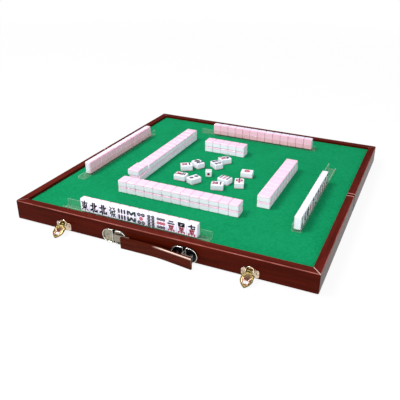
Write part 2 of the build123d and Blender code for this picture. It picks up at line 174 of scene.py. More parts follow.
def colour(red, green, blue):
    """A colour as it looks on a screen, 0 to 255, in linear light."""
    values = [value / 255 for value in (red, green, blue)]
    return tuple(v / 12.92 if v <= 0.04045 else ((v + 0.055) / 1.055) ** 2.4 for v in values)


def dress(piece, finish):
    """Give a piece one material."""
    piece.data.materials.clear()
    piece.data.materials.append(finish.material)


nodes = frame["nodes"]
joints = {joint["name"]: joint for joint in frame["joints"]}
fold_y = joints["case_fold"]["pos_m"][1]
rail_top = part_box("front_half_front_rail")[1].z
case_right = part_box("front_half_right_rail")[1].x
rim_width = case_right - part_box("front_half_right_rail")[0].x
grain_stretch = 14.0  # how much longer the figure is along the grain than across it
band_size, pore_size, grain_relief = 0.008, 0.0011, 0.00005
top_start, top_full = 0.0016, 0.0006  # depths below the top between which the top face's lighter tone, painted light from above, sets in
rub_and_highlight_reach = 0.0012  # how far in from the outer edges the lacquer is rubbed thin and painted paler, as wear and painted highlight at once
mitre_highlight_width = 0.0006  # half the width of the painted highlight along each mitre
mitre_highlight_start, mitre_highlight_full = 0.0015, 0.0008  # depths below the top between which that line sets in
fold_shade_width = 0.0026  # width of the painted shade on each rail's rounded end at the fold
fold_highlight_band = (0.0032, 0.0048, 0.0056)  # beyond it: where a band of painted highlight is full, starts to fade and ends
side_skin = 0.0006  # depth that still counts as the case's outer side face
plain_coat, side_coat = 0.045, 0.3  # clear coat's weight, and how much more of it the two sides have


def lacquered_wood(name, along):
    """Stained wood: long bands and fine pores drawn out along the grain, under a clear coat that is
    thicker on the case's two sides. Painted light is laid over it: top faces lighter than vertical faces,
    a paler rub along the outer top edges that is both wear and painted highlight, a painted highlight
    along each mitre, and painted shade at the fold between bands of painted highlight, all placed by
    distances from the outer edges, mitres and fold."""
    finish = Finish(name, {"Coat Weight": plain_coat, "Coat Roughness": 0.1, "Specular IOR Level": 0.03})
    place = finish.place()
    x, y, z = finish.split(place)
    stretch = (grain_stretch, 1.0, 1.0) if along == "x" else (1.0, grain_stretch, 1.0)
    bands = finish.noise(place, band_size, stretch, 4.0, 0.6)
    pores = finish.noise(place, pore_size, stretch, 2.0, 0.7)
    # Painted light: the vertical faces take a darker tone and the top faces a lighter one, for light from above.
    shaded_upright_tone = finish.tint(bands.ramp(0.3, 0.7), colour(53, 8, 0), colour(77, 17, 4))
    flat = finish.tint(bands.ramp(0.3, 0.7), colour(73, 17, 9), colour(101, 30, 19))
    wood = finish.tint(z.ramp(rail_top - top_start, rail_top - top_full), shaded_upright_tone, flat)
    wood = finish.tint(pores.ramp(0.56, 0.72) * 0.55, wood, colour(36, 6, 4))
    from_side = case_right - abs(x)
    off_fold = abs(y - fold_y)
    from_end = case_right - off_fold
    outer = from_side.math("MINIMUM", from_side, from_end)
    # A paler line along the outer top edges: the lacquer rubbed thin, and at once a painted highlight.
    high = z.ramp(rail_top - rub_and_highlight_reach, rail_top - 0.25 * rub_and_highlight_reach)
    patchy = finish.noise(place, 0.02, detail=2.0).ramp(0.35, 0.65)
    rub_and_highlight = outer.ramp(rub_and_highlight_reach, 0.35 * rub_and_highlight_reach) * high * (0.35 + 0.5 * patchy)
    wood = finish.tint(rub_and_highlight, wood, colour(182, 112, 100))
    # Painted highlight: a pale line along each mitre's top, strongest at the front right corner.
    off_mitre = abs(from_side - from_end)
    mitre = off_mitre.ramp(mitre_highlight_width, 0.4 * mitre_highlight_width)
    mitre = mitre * z.ramp(rail_top - mitre_highlight_start, rail_top - mitre_highlight_full)
    brightest_corner = x.ramp(0.0, 0.2) * (y - fold_y).ramp(0.0, -0.2)
    wood = finish.tint(mitre * (0.3 + 0.7 * brightest_corner), wood, colour(246, 222, 206))
    # Painted highlight on the rails' rounded ends beside the fold, and painted shade right at the fold between
    # them.
    rim = from_side.ramp(rim_width + 0.001, rim_width) * z.ramp(rail_top - top_start, rail_top - 0.001)
    fold_end_highlight = off_fold.ramp(fold_shade_width, fold_highlight_band[0]) * off_fold.ramp(fold_highlight_band[2], fold_highlight_band[1])
    wood = finish.tint(fold_end_highlight * rim * 0.7, wood, colour(222, 150, 138))
    wood = finish.tint(off_fold.ramp(fold_shade_width, fold_shade_width - 0.0006), wood, colour(30, 5, 4))
    relief = pores.ramp(0.5, 0.75) * -0.6 + bands
    side_face = from_side.ramp(side_skin, side_skin / 3)
    finish.set({"Base Color": wood, "Normal": finish.bump(relief, grain_relief)})
    finish.set({"Roughness": 0.36 + 0.14 * bands, "Coat Weight": plain_coat + side_coat * side_face})
    return finish


across_wood = lacquered_wood("lacquered_wood_across", "x")
deep_wood = lacquered_wood("lacquered_wood_deep", "y")
for node in ("front_half_front_rail", "rear_half_rear_rail", "front_half_spine_rail", "rear_half_spine_rail"):
    dress(nodes[node], across_wood)
for half in ("front_half", "rear_half"):
    for side in ("left", "right"):
        dress(nodes[f"{half}_{side}_rail"], deep_wood)


# ---- Boards ----
# A plywood panel closes the top of each half, let into grooves in the rails and carried by the spine.
# Its underside shows inside the case, a pale veneer with a plain figure, left without lacquer.
def plywood_veneer():
    """Pale veneer: a slow noise cut into bands by its fraction, with short dark pores."""
    finish = Finish("plywood_veneer", {"Roughness": 0.7, "Specular IOR Level": 0.3})
    place = finish.place()
    bands = finish.noise(place, 0.03, (9.0, 1.0, 1.0), 3.0, 0.5) * 9.0
    rings = bands.math("FRACT", bands)
    pores = finish.noise(place, 0.0009, (12.0, 1.0, 1.0), 2.0)
    wood = finish.tint(rings.ramp(0.1, 0.9), colour(196, 158, 112), colour(172, 130, 86))
    wood = finish.tint(pores.ramp(0.58, 0.7) * 0.5, wood, colour(120, 84, 52))
    finish.set({"Base Color": wood, "Normal": finish.bump(pores, 0.00004)})
    return finish


veneer = plywood_veneer()
for half in ("front_half", "rear_half"):
    dress(nodes[f"{half}_board"], veneer)


# ---- Felt ----
# Green wool-blend felt covers each board up to the rim's inner walls, so the tiles slide quietly.
# It is one sheet per half, about a millimetre thick, cut square and glued down over its whole area.
def mesh_piece(name, points, faces):
    """A mesh object at the origin, from arrays of points and faces."""
    mesh = bpy.data.meshes.new(name)
    mesh.from_pydata(points.tolist(), [], [tuple(face) for face in faces])
    piece = bpy.data.objects.new(name, mesh)
    bpy.context.scene.collection.objects.link(piece)
    return piece


def grid_faces(rows, columns, wrap_rows=False, wrap_columns=False):
    """Corner numbers of the quads between neighbours on a grid, which may close on itself."""
    row = np.arange(rows if wrap_rows else rows - 1)[:, None]
    column = np.arange(columns if wrap_columns else columns - 1)[None, :]
    next_row, next_column = (row + 1) % rows, (column + 1) % columns
    corners = [row * columns + column, row * columns + next_column]
    corners += [next_row * columns + next_column, next_row * columns + column]
    return np.stack(corners, -1).reshape(-1, 4)


def smooth(piece, angle=math.radians(40)):
    """Shade round stretches smoothly, and keep edges sharper than the angle."""
    piece.data.shade_smooth()
    piece.data.set_sharp_from_angle(angle=angle)


felt_thickness = 0.001
felt_ripple = 0.00006  # how deep the sheet lies in its waves
felt_fold_gap = 0.00003  # from the fold to each sheet's cut edge
felt_columns, felt_rows = 137, 67
cut_edge = np.array([0.0, 0.0004])  # the first two columns, as shares of the sheet
fibre_size, tuft_size, fibre_relief = 0.0009, 0.0035, 0.00018


def felt_sheet(half):
    """Height over the board: two crossed slow sine waves, falling to nothing at the glued edges. Rows and
    columns lie close together right at the cut edges, so that these stay crisp."""
    low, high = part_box(f"{half}_felt")
    if half == "front_half":
        high.y = fold_y - felt_fold_gap
    else:
        low.y = fold_y + felt_fold_gap
    spread = [np.concatenate([cut_edge, np.linspace(0.008, 0.992, count), 1.0 - cut_edge[::-1]])
              for count in (felt_columns, felt_rows)]
    u, v = np.meshgrid(*spread)
    x = low.x + (high.x - low.x) * u
    y = low.y + (high.y - low.y) * v
    wave = np.sin(23 * u + 5 * v) * np.sin(11 * v - 4 * u + 1.3) - 1.0
    inside = np.clip(30 * u * (1 - u), 0, 1) * np.clip(15 * v * (1 - v), 0, 1)
    z = high.z + 0.5 * felt_ripple * wave * inside
    sheet = mesh_piece(f"{half}_felt_sheet", np.stack([x, y, z], -1).reshape(-1, 3), grid_faces(*u.shape))
    smooth(sheet)
    solid = sheet.modifiers.new("thickness", "SOLIDIFY")
    solid.thickness = felt_thickness
    solid.offset = -1.0
    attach(sheet, half)
    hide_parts(f"{half}_felt")
    return sheet


def green_felt():
    """Wool felt: a cloudy depth of colour, small tufts, tangled fibres a fraction of a millimetre wide."""
    finish = Finish("green_felt", {"Roughness": 0.95, "Specular IOR Level": 0.04})
    finish.set({"Sheen Weight": 0.03, "Sheen Roughness": 0.6, "Sheen Tint": colour(80, 220, 160)})
    place = finish.place()
    clouds = finish.noise(place, 0.05, detail=5.0, rough=0.6)
    along = finish.noise(place, fibre_size, (5.0, 1.0, 1.0), 2.0)
    across = finish.noise(place, fibre_size, (1.0, 5.0, 1.0), 2.0)
    fibres = along.math("MAXIMUM", along, across)
    tufts = finish.noise(place, tuft_size, detail=3.0, rough=0.7)
    depth = clouds.ramp(0.3, 0.7) * 0.4 + tufts.ramp(0.34, 0.66) * 0.6
    wool = finish.tint(depth, colour(3, 124, 74), colour(17, 147, 93))
    wool = finish.tint(fibres.ramp(0.62, 0.8) * 0.3, wool, colour(50, 176, 124))
    wool = finish.tint(fibres.ramp(0.46, 0.34) * 0.4, wool, colour(8, 104, 58))
    finish.set({"Base Color": wool, "Normal": finish.bump(fibres, fibre_relief)})
    return finish


felt_finish = green_felt()
for half in ("front_half", "rear_half"):
    dress(felt_sheet(half), felt_finish)


# ---- Fold hinges ----
# Three brass butt hinges join the halves, each of two folded leaves round a drawn brass pin.
# The leaves are let into the spine rails and held by two steel screws each.
def plated_metal(name, bright, dull, roughness, patch=0.006, rim=None):
    """Plated metal: a slow change of tone, hairline scratches, a duller tone in patches, and, where the
    piece's own rim attribute says so, an edge in a darker olive tone."""
    finish = Finish(name, {"Metallic": 1.0, "Roughness": roughness})
    place = finish.place()
    patches = finish.noise(place, patch, detail=3.0)
    hairlines = finish.noise(place, 0.0003, (16.0, 1.0, 16.0), 2.0)
    tone = finish.tint(patches.ramp(0.35, 0.75), bright, dull)
    if rim:
        tone = finish.tint(finish.attribute("rim"), tone, rim)
    finish.set({"Base Color": tone, "Roughness": roughness * (0.8 + 0.5 * patches)})
    finish.set({"Normal": finish.bump(hairlines, 0.00001)})
    return finish


brass = plated_metal("satin_brass", colour(212, 180, 112), colour(176, 142, 84), 0.32)
steel = plated_metal("screw_steel", colour(205, 204, 200), colour(160, 158, 154), 0.28)
for node in ("hinge_front_leaves", "hinge_rear_leaves", "hinge_pins"):
    dress(nodes[node], brass)
for node in ("hinge_front_screws", "hinge_rear_screws"):
    dress(nodes[node], steel)


# ---- Latches ----
# Two draw latches hold the shut case. A pressed base with screw wings and a raised arch carries, on a
# pin, a shield-shaped hasp with a rolled rim and a window. All of it is steel with a pale gold plate.
def skin(name, rings, closed_rings=True, closed_rows=False):
    """A surface through rings of points, rows by columns; open rows end in a flat face."""
    rows, columns = rings.shape[:2]
    faces = grid_faces(rows, columns, closed_rows, closed_rings).tolist()
    if closed_rings and not closed_rows:
        faces += [list(range(columns))[::-1], list(range((rows - 1) * columns, rows * columns))]
    return mesh_piece(name, rings.reshape(-1, 3), faces)


def outwards(piece):
    """Merge doubled points and turn every face outwards."""
    made = bmesh.new()
    made.from_mesh(piece.data)
    bmesh.ops.remove_doubles(made, verts=made.verts, dist=1e-7)
    bmesh.ops.recalc_face_normals(made, faces=made.faces)
    made.to_mesh(piece.data)
    made.free()
    return piece


def points_of(piece):
    """A piece's points as an array."""
    place = np.empty(len(piece.data.vertices) * 3)
    piece.data.vertices.foreach_get("co", place)
    return place.reshape(-1, 3)


def note(piece, name, values):
    """Keep a number at each point, for the piece's material to read."""
    attribute = piece.data.attributes.new(name, "FLOAT", "POINT")
    attribute.data.foreach_set("value", values.ravel().astype(np.float32))


def join(name, pieces):
    """Several pieces of one pressing as a single mesh."""
    points, faces, count = [], [], 0
    for piece in pieces:
        points.append(points_of(piece))
        faces += [[count + corner for corner in face.vertices] for face in piece.data.polygons]
        count += len(points[-1])
        bpy.data.objects.remove(piece)
    return mesh_piece(name, np.concatenate(points), faces)


def polar(outline, centre, angles):
    """Distance from centre to an outline at each angle, by reading the outline's own points in order."""
    edges = np.concatenate([outline, outline[:1]])
    steps = np.linspace(0, 1, 40, endpoint=False)
    dense = edges[:-1, None] + (edges[1:] - edges[:-1])[:, None] * steps[None, :, None]
    offset = dense.reshape(-1, 2) - centre
    turn = np.arctan2(offset[:, 1], offset[:, 0])
    order = np.argsort(turn)
    return np.interp(angles, turn[order], np.hypot(*offset[order].T), period=2 * np.pi)


def arc(centre, radius, start, end, count):
    """Points along a round arc, angles in degrees."""
    turn = np.radians(np.linspace(start, end, count))
    return np.stack([centre[0] + radius * np.cos(turn), centre[1] + radius * np.sin(turn)], -1)


ring_angles = np.linspace(0, 2 * np.pi, 96, endpoint=False)


def rings_round(centre, levels):
    """Rings about a centre: each level gives the radius at every ring angle, and the height."""
    x, y = np.cos(ring_angles), np.sin(ring_angles)
    rings = [(centre[0] + radius * x, centre[1] + radius * y, np.full_like(radius, height))
             for radius, height in levels]
    return np.stack([np.stack(ring, -1) for ring in rings])


def box_reach(half_width, half_height):
    """Distance from a rectangle's middle to its sides at every ring angle."""
    return np.minimum(half_width / np.maximum(abs(np.cos(ring_angles)), 1e-6),
                      half_height / np.maximum(abs(np.sin(ring_angles)), 1e-6))


def place_on_face(points, origin, turn=0.0):
    """Points given as right, up and out of the front rail's face, turned about the origin's X axis."""
    right, up, out = points[..., 0], points[..., 1], points[..., 2]
    swung_out = out * np.cos(turn) - up * np.sin(turn)
    swung_up = up * np.cos(turn) + out * np.sin(turn)
    return np.stack([origin[0] + right, origin[1] - swung_out, origin[2] + swung_up], -1)


bodies = frame["record"]["behaviour"]["bodies"]
body_of = {node: body for body, members in bodies.items() for node in members}
# One pale gold plate in two copies: painted lighter as painted light on the latch bases, pins, screws and catches,
# and painted darker as painted shade on the hasps.
gold = plated_metal("gold_plate", colour(255, 236, 214), colour(222, 186, 146), 0.16, 0.0035)
gold_in_painted_shade = plated_metal("worn_gold_plate", colour(208, 160, 138), colour(146, 106, 76), 0.24, 0.0045,
                         colour(122, 110, 64))
wing_span, wing_height, wing_radius, wing_drop = 0.024, 0.0116, 0.003, 0.0038
arch_radius, arch_drop, arch_band, arch_height = 0.0075, 0.0015, 0.002, 0.0014
plate = 0.001
lug_radius, lug_width, knuckle_width, side_gap = 0.0019, 0.002, 0.008, 0.0002
knuckle_radius = 0.0017
edge_ease = 0.0003
hasp_width, hasp_top, hasp_length = 0.0165, 0.0006, 0.023
point_drop, neck_drop, shoulder_drop = 0.0135, 0.003, 0.0045
flank_bow = 0.1  # how far the sides of the point bow out, as a share of their length
hasp_back, hasp_face, hasp_rim = -0.001, 0.0002, 0.0009  # heights of its back, panel and rolled rim
window_centre = np.array([0.0, -0.0153])
window_half = (0.0035, 0.0022)
window_corner = 0.0038  # from the window's centre to its corners
rim_start, rim_fade = 0.62, 0.12  # share of the way out where the olive tone starts, and where it is full


def latch_plate():
    """Radius round a middle point: the larger of the wings' rounded box and the arch's circle."""
    a, b, r = wing_span / 2, wing_height / 2, wing_radius
    corners = [arc((s * (a - r), t * (b - r) - wing_drop), r, start, start + 90, 8)
               for s, t, start in ((1, 1, 0), (-1, 1, 90), (-1, -1, 180), (1, -1, 270))]
    middle = -(wing_drop + arch_drop) / 2
    box = polar(np.concatenate(corners), np.array([0.0, middle]), ring_angles)
    circle = polar(arc((0.0, -arch_drop), arch_radius, 0, 355, 72), np.array([0.0, middle]), ring_angles)
    radius = np.maximum(box, circle)
    levels = ((0.0, 0.0), (0.0, plate - edge_ease), (0.3 * edge_ease, plate - 0.3 * edge_ease),
              (edge_ease, plate), (0.002, plate))
    return rings_round((0.0, middle), [(radius - inset, height) for inset, height in levels])


def latch_arch():
    """A half-round section carried over the arch's top half, sinking into the plate at both ends."""
    along = np.linspace(-0.12, 1.12, 41)
    across = np.linspace(0, 2 * np.pi, 16, endpoint=False)
    turn, around = np.meshgrid(np.pi * along, across, indexing="ij")
    fade = np.clip(np.minimum(along, 1 - along) * 8 + 1, 0, 1)[:, None]
    radius = arch_radius - arch_band / 2 + arch_band / 2 * np.cos(around)
    height = plate + arch_height * fade * np.maximum(np.sin(around), -0.2)
    return np.stack([radius * np.cos(turn), radius * np.sin(turn) - arch_drop, height], -1)


def barrel(start, end, radius, out):
    """Round bar along the hinge axis with eased ends."""
    along = np.array([start, start, start + edge_ease, end - edge_ease, end, end])
    size = np.array([0.4 * radius, radius - edge_ease, radius, radius, radius - edge_ease, 0.4 * radius])
    turn = np.linspace(0, 2 * np.pi, 28, endpoint=False)
    across, height = size[:, None] * np.cos(turn), out + size[:, None] * np.sin(turn)
    return np.stack([np.broadcast_to(along[:, None], across.shape), across, height], -1)


def lug_post(side, out):
    """Cheek between the plate and the pin: a rounded box under each lug."""
    x0 = side * (knuckle_width / 2 + side_gap + lug_width / 2)
    a, b = lug_width / 2, lug_radius
    x, y = np.array([(-a, -b), (a, -b), (a, b), (-a, b)]).T
    return np.stack([np.stack([x0 + x, y, np.full_like(x, height)], -1) for height in (0.5 * plate, out)])


def hasp_outline():
    """Neck, sloping shoulders, straight sides, then two bowed lines that close in a point: a straight
    line from side to tip, pushed outwards by a share of its length that is greatest halfway."""
    half, neck = hasp_width / 2, knuckle_width / 2
    bend = np.linspace(0, 1, 12)
    bow = 4 * flank_bow * bend * (1 - bend)
    side_x = half * (1 - bend) + (hasp_length - point_drop) * bow
    side_y = -point_drop - (hasp_length - point_drop) * bend - half * bow
    right = [(neck, -hasp_top), (neck, -neck_drop), (half, -shoulder_drop)] + list(zip(side_x, side_y))
    return np.array(right + [(-x, y) for x, y in right[-2::-1]])


shield_outline = hasp_outline()


def hasp_plate():
    """Rings from the window's edge over a low collar, the panel and the rolled rim, and round the back.
    A collar's width is from the window's edge, and a rim's is from the outline."""
    outer = polar(shield_outline, window_centre, ring_angles)
    hole = np.minimum(box_reach(*window_half), window_corner)
    collar = ((0.0, hasp_back), (0.0, hasp_face + 0.0002), (0.0002, hasp_face + 0.00035),
              (0.0006, hasp_face + 0.0003), (0.0009, hasp_face))
    rim = ((0.0017, hasp_face), (0.0013, hasp_rim - 0.0002), (0.0009, hasp_rim), (0.0005, hasp_rim),
           (0.00015, hasp_rim - 0.0002), (0.0, hasp_rim - 0.0006), (0.0, hasp_back))
    levels = [(hole + width, height) for width, height in collar]
    return rings_round(window_centre, levels + [(outer - width, height) for width, height in rim])


def mark_rim(piece, hang, lean):
    """Note where the plate takes its darker olive tone: 0 over the panel's middle and 1 at the rolled rim,
    from the distance to the window's middle over the outline's distance the same way. The hasp's own plane
    is found by turning the points back by its lean."""
    right, back, up = (points_of(piece) - hang).T
    x, y = right - window_centre[0], back * np.sin(lean) + up * np.cos(lean) - window_centre[1]
    reach = np.hypot(x, y) / polar(shield_outline, window_centre, np.arctan2(y, x))
    note(piece, "rim", np.clip((reach - rim_start) / rim_fade, 0.0, 1.0))


for side in ("left", "right"):
    swing = joints[f"{side}_hasp_swing"]
    face_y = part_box(f"latch_{side}_base")[1].y
    axis_x, axis_y, axis_z = swing["pos_m"]
    axis_out = face_y - axis_y
    origin = (axis_x, face_y, axis_z)
    parts = [skin("plate", place_on_face(latch_plate(), origin)),
             skin("arch", place_on_face(latch_arch(), origin))]
    for s in (-1, 1):
        inner = knuckle_width / 2 + side_gap
        start, end = sorted((s * inner, s * (inner + lug_width)))
        parts.append(skin("lug", place_on_face(barrel(start, end, lug_radius, axis_out), origin)))
        parts.append(skin("post", place_on_face(lug_post(s, axis_out), origin)))
    base = join(f"{side}_latch_base", [outwards(part) for part in parts])
    lean = math.radians(-swing["range_deg"][0])
    hang = (axis_x, axis_y, axis_z)
    bar = barrel(-knuckle_width / 2, knuckle_width / 2, knuckle_radius, 0.0)
    knuckle = skin("knuckle", place_on_face(bar, hang))
    shield = skin("shield", place_on_face(hasp_plate(), hang, lean), closed_rows=True)
    hasp = join(f"{side}_latch_hasp", [outwards(knuckle), outwards(shield)])
    mark_rim(hasp, hang, lean)
    for piece, node, plating in ((base, f"latch_{side}_base", gold), (hasp, f"latch_{side}_hasp", gold_in_painted_shade)):
        smooth(piece, math.radians(50))
        dress(piece, plating)
        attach(piece, body_of[node])
        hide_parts(node)
for node in ("latch_pins", "latch_screws", "catch_left", "catch_right", "catch_screws"):
    dress(nodes[node], gold)

# ---- Handle caps ----
# Two pressed steel caps, nickel plated, hold the handle to the front rail. Each is an oblong plate with
# two open half-moon cups that part at the middle, where a slot lets the strap's tongue through.
cap_width, cap_height, cap_plate = 0.0377, 0.021, 0.001
cup_height, cup_wall, cup_gap = 0.0028, 0.0013, 0.0034
cup_round, cup_corner = 0.0005, 0.0008  # of the rolled edge, and of the half-moon's inner corners
slot_half = (0.0011, 0.0055)


def cap_plate_rings():
    """An oblong of two half circles and a slot, joined by rings over the eased outer edge."""
    r = cap_height / 2
    ends = [arc((cap_width / 2 - r, 0), r, -90, 90, 24), arc((r - cap_width / 2, 0), r, 90, 270, 24)]
    outer = polar(np.concatenate(ends), np.zeros(2), ring_angles)
    slot = box_reach(*slot_half)
    return rings_round((0.0, 0.0), [
        (slot, 0.0), (slot, cap_plate - 0.0001), (slot + 0.0001, cap_plate), (outer - edge_ease, cap_plate),
        (outer - 0.3 * edge_ease, cap_plate - 0.3 * edge_ease), (outer, cap_plate - edge_ease), (outer, 0.0)])


def cup_rings(side):
    """A half-moon's rim carried round its outline: up the outside, over a rolled edge and down inside."""
    r, straight = cap_height / 2, cup_gap / 2
    bevel = [(straight + cup_corner, r), (straight, r - cup_corner)]
    mirrored_bevel = [(x, -y) for x, y in bevel[::-1]]
    moon = np.concatenate([arc((cap_width / 2 - r, 0), r, -90, 90, 30), bevel, mirrored_bevel])
    centre = np.array([(straight + cap_width / 2) / 2, 0.0])
    radius = polar(moon, centre, ring_angles)
    levels = ((0.0, 0.5 * cap_plate), (0.0, cup_height - cup_round), (0.0002, cup_height - 0.3 * cup_round),
              (cup_wall / 2, cup_height), (cup_wall - 0.0002, cup_height - 0.3 * cup_round),
              (cup_wall, cup_height - cup_round), (cup_wall, cap_plate + 0.0001))
    return rings_round(centre, [(radius - inset, height) for inset, height in levels]) * (side, 1.0, 1.0)


def nickel_plate(side, origin, floor):
    """Nickel, polished on the cups' rims, which are also painted near white as a painted highlight, duller on
    their floors, and painted shade down in the gap between them.
    """
    finish = Finish(f"nickel_plate_{side}", {"Metallic": 1.0})
    place = finish.place()
    x, y, _ = finish.split(place)
    patches = finish.noise(place, 0.006, detail=3.0)
    rim = (origin[1] - y).ramp(cup_height - 2 * cup_round, cup_height - cup_round)
    shade = finish.tint(patches.ramp(0.35, 0.75), floor, tuple(0.6 * value for value in floor))
    # Painted shade down in the gap between the cups, then a painted highlight on the cups' rims.
    shade = finish.tint(abs(x - origin[0]).ramp(cup_gap / 2 + 0.0005, cup_gap / 2), shade, colour(24, 26, 24))
    shade = finish.tint(rim, shade, colour(250, 248, 240))
    finish.set({"Base Color": shade, "Roughness": 0.34 - 0.2 * rim})
    return finish


# The two caps are one part: the right cap's cup floors are painted dark as painted shade and reflection, the left
# cap's in a pale nickel tone.
for side, floor in (("left", colour(196, 190, 168)), ("right", colour(52, 60, 70))):
    low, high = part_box(f"handle_{side}_cap")
    origin = ((low.x + high.x) / 2, high.y, (low.z + high.z) / 2)
    plate_skin = skin("plate", place_on_face(cap_plate_rings(), origin), closed_rows=True)
    cups = [skin("cup", place_on_face(cup_rings(s), origin), closed_rows=True) for s in (-1, 1)]
    cap = join(f"{side}_handle_cap", [outwards(part) for part in [plate_skin] + cups])
    smooth(cap, math.radians(50))
    dress(cap, nickel_plate(side, origin, floor))
    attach(cap, "front_half")
    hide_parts(f"handle_{side}_cap")
dress(nodes["handle_cap_screws"], steel)

# ---- Handle strap ----
# A flat strap of stiffened leatherette, the same red-brown as the wood, bent out at its right end.
# Two thin tongues on its back pass through the caps and are stopped inside the rail.
strap_thickness = 0.0034
strap_bend_start, strap_bend_end = 0.42, 0.62  # shares of its length
strap_inset = 0.0002  # how far its cover stays inside the solid strap's ends and back
end_band, end_share = 0.001, 0.82  # share of its length at each end where it is that much thinner
edge_power, face_power = 0.22, 0.3  # the smaller, the squarer the section's corners
crease_height, crease_spread, crease_depth = 0.82, 0.035, 0.00035  # two shares of its half height, a depth
edge_highlight_start, edge_highlight_run = 0.45, 0.12  # where along its length the painted highlight on the top edge starts
figure_size, pebble_scale, pebble_relief = 0.0035, 1400.0, 0.00005


def strap_rings():
    """A section like a box with round corners (powers of a circle's sine and cosine), with a crease along
    each edge, carried along a line that bends once. Also gives the painted highlight at each point."""
    low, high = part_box("handle_strap")
    along = np.concatenate([[0.0, 0.0025], np.linspace(0.01, 0.99, 60), [0.9975, 1.0]])
    bend = np.clip((along - strap_bend_start) / (strap_bend_end - strap_bend_start), 0, 1)
    width = strap_bend_end - strap_bend_start
    reach = np.where(along > strap_bend_end, along - (strap_bend_start + strap_bend_end) / 2,
                     width * bend**2 / 2)
    full = 1 - (strap_bend_start + strap_bend_end) / 2
    line_y = high.y - strap_thickness / 2 - (high.y - low.y - strap_thickness - strap_inset) * reach / full
    line_x = low.x + strap_inset + (high.x - low.x - 2 * strap_inset) * along
    turn = np.arctan2(np.gradient(line_y), np.gradient(line_x))
    end = np.minimum(along, 1 - along)
    ease = np.where(end < end_band, end_share, 1.0)[:, None]
    around = np.linspace(0, 2 * np.pi, 64, endpoint=False)
    c, s = np.cos(around), np.sin(around)
    up = np.sign(s) * np.abs(s) ** edge_power
    out = np.sign(c) * np.abs(c) ** face_power
    off_crease = (np.abs(up) - crease_height) / crease_spread
    crease = np.where(c > 0, np.exp(-(off_crease**2)) * crease_depth, 0)
    half = (high.z - low.z) / 2
    height = (low.z + high.z) / 2 + half * up[None, :] * (0.985 + 0.015 * ease)
    thick = (strap_thickness / 2 * out - crease)[None, :] * ease
    normal_x, normal_y = np.sin(turn), -np.cos(turn)
    x = line_x[:, None] + normal_x[:, None] * thick
    y = line_y[:, None] + normal_y[:, None] * thick
    front_top = np.clip(1.5 - abs(around - 0.2 * np.pi) / (0.1 * np.pi), 0, 1)[None, :]
    worn = front_top * np.clip((along - edge_highlight_start) / edge_highlight_run, 0, 1)[:, None]
    return np.stack([x, y, np.broadcast_to(height, x.shape)], -1), worn


def strap_leatherette():
    """Leatherette: pebbled grain, a lengthwise figure under it, and a painted highlight along the top edge towards
    the right.
    """
    finish = Finish("strap_leatherette", {"Specular IOR Level": 0.06})
    place = finish.place()
    figure = finish.noise(place, figure_size, (12.0, 4.0, 1.0), 3.0)
    pebbles = finish.add("ShaderNodeTexVoronoi", {"feature": "DISTANCE_TO_EDGE"},
                         {"Vector": place, "Scale": pebble_scale})
    hide = finish.tint(figure.ramp(0.3, 0.7), colour(53, 12, 1), colour(78, 22, 6))
    # Painted highlight: a near-white line along the top front edge of the strap's right part.
    hide = finish.tint(finish.attribute("worn") * 0.95, hide, colour(250, 224, 206))
    finish.set({"Base Color": hide, "Roughness": 0.5 - 0.15 * pebbles.ramp(0.0, 0.2)})
    finish.set({"Normal": finish.bump(pebbles.ramp(0.0, 0.25), pebble_relief)})
    return finish


strap_points, strap_edge_highlight = strap_rings()
strap = skin("handle_strap_cover", strap_points)
note(strap, "worn", strap_edge_highlight)
outwards(strap)
smooth(strap, math.radians(45))
dress(strap, strap_leatherette())
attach(strap, "handle")
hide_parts("handle_strap")
tongue_strip = Finish("tongue_strip", {"Roughness": 0.35})
weave = tongue_strip.noise(tongue_strip.place(), 0.0006, (1.0, 1.0, 3.0), 2.0)
tongue_strip.set({"Base Color": tongue_strip.tint(weave, colour(140, 132, 116), colour(112, 104, 90))})
for side in ("left", "right"):
    dress(nodes[f"handle_{side}_tongue"], tongue_strip)

# ---- Tiles ----
# The set's tiles are small blocks of cast resin, white with a pink back a quarter as thick, fused and
# then tumbled, which rounds every edge. Their faces are engraved and the cuts filled with paint.
tile_size = np.array([0.015, 0.020, 0.010])
tile_round = 0.0015
back_share = 0.24  # of the thickness, in pink
tile_points_each = 96  # of each tile in a node's mesh
first_up = np.array([0.001, 0.02, 1.0])  # a tile's top points up, or to the rear, or to the right
wall_painted_paleness, loose_painted_paleness, right_hand_painted_glare = 0.7, 0.5, 1.2  # how much paler each group's pink backs are painted, as painted light; the right hand's most, as painted glare


def tile_places(node, towards):
    """Middle and axes of every tile of a node: its points' spread is least across its thickness, more
    across its width and most along its length. The face is on the side nearest to towards."""
    tiles = points_of(nodes[node]).reshape(-1, tile_points_each, 3)
    middle = (tiles.max(1) + tiles.min(1)) / 2
    offset = tiles - middle[:, None]
    _, axes = np.linalg.eigh(np.einsum("npi,npj->nij", offset, offset))
    out, up = axes[:, :, 0], axes[:, :, 2]
    out = out * np.where(out @ np.array(towards) < 0, -1.0, 1.0)[:, None]
    up = up * np.where(up @ first_up < 0, -1.0, 1.0)[:, None]
    return middle, np.stack([np.cross(up, out), up, out], -1)


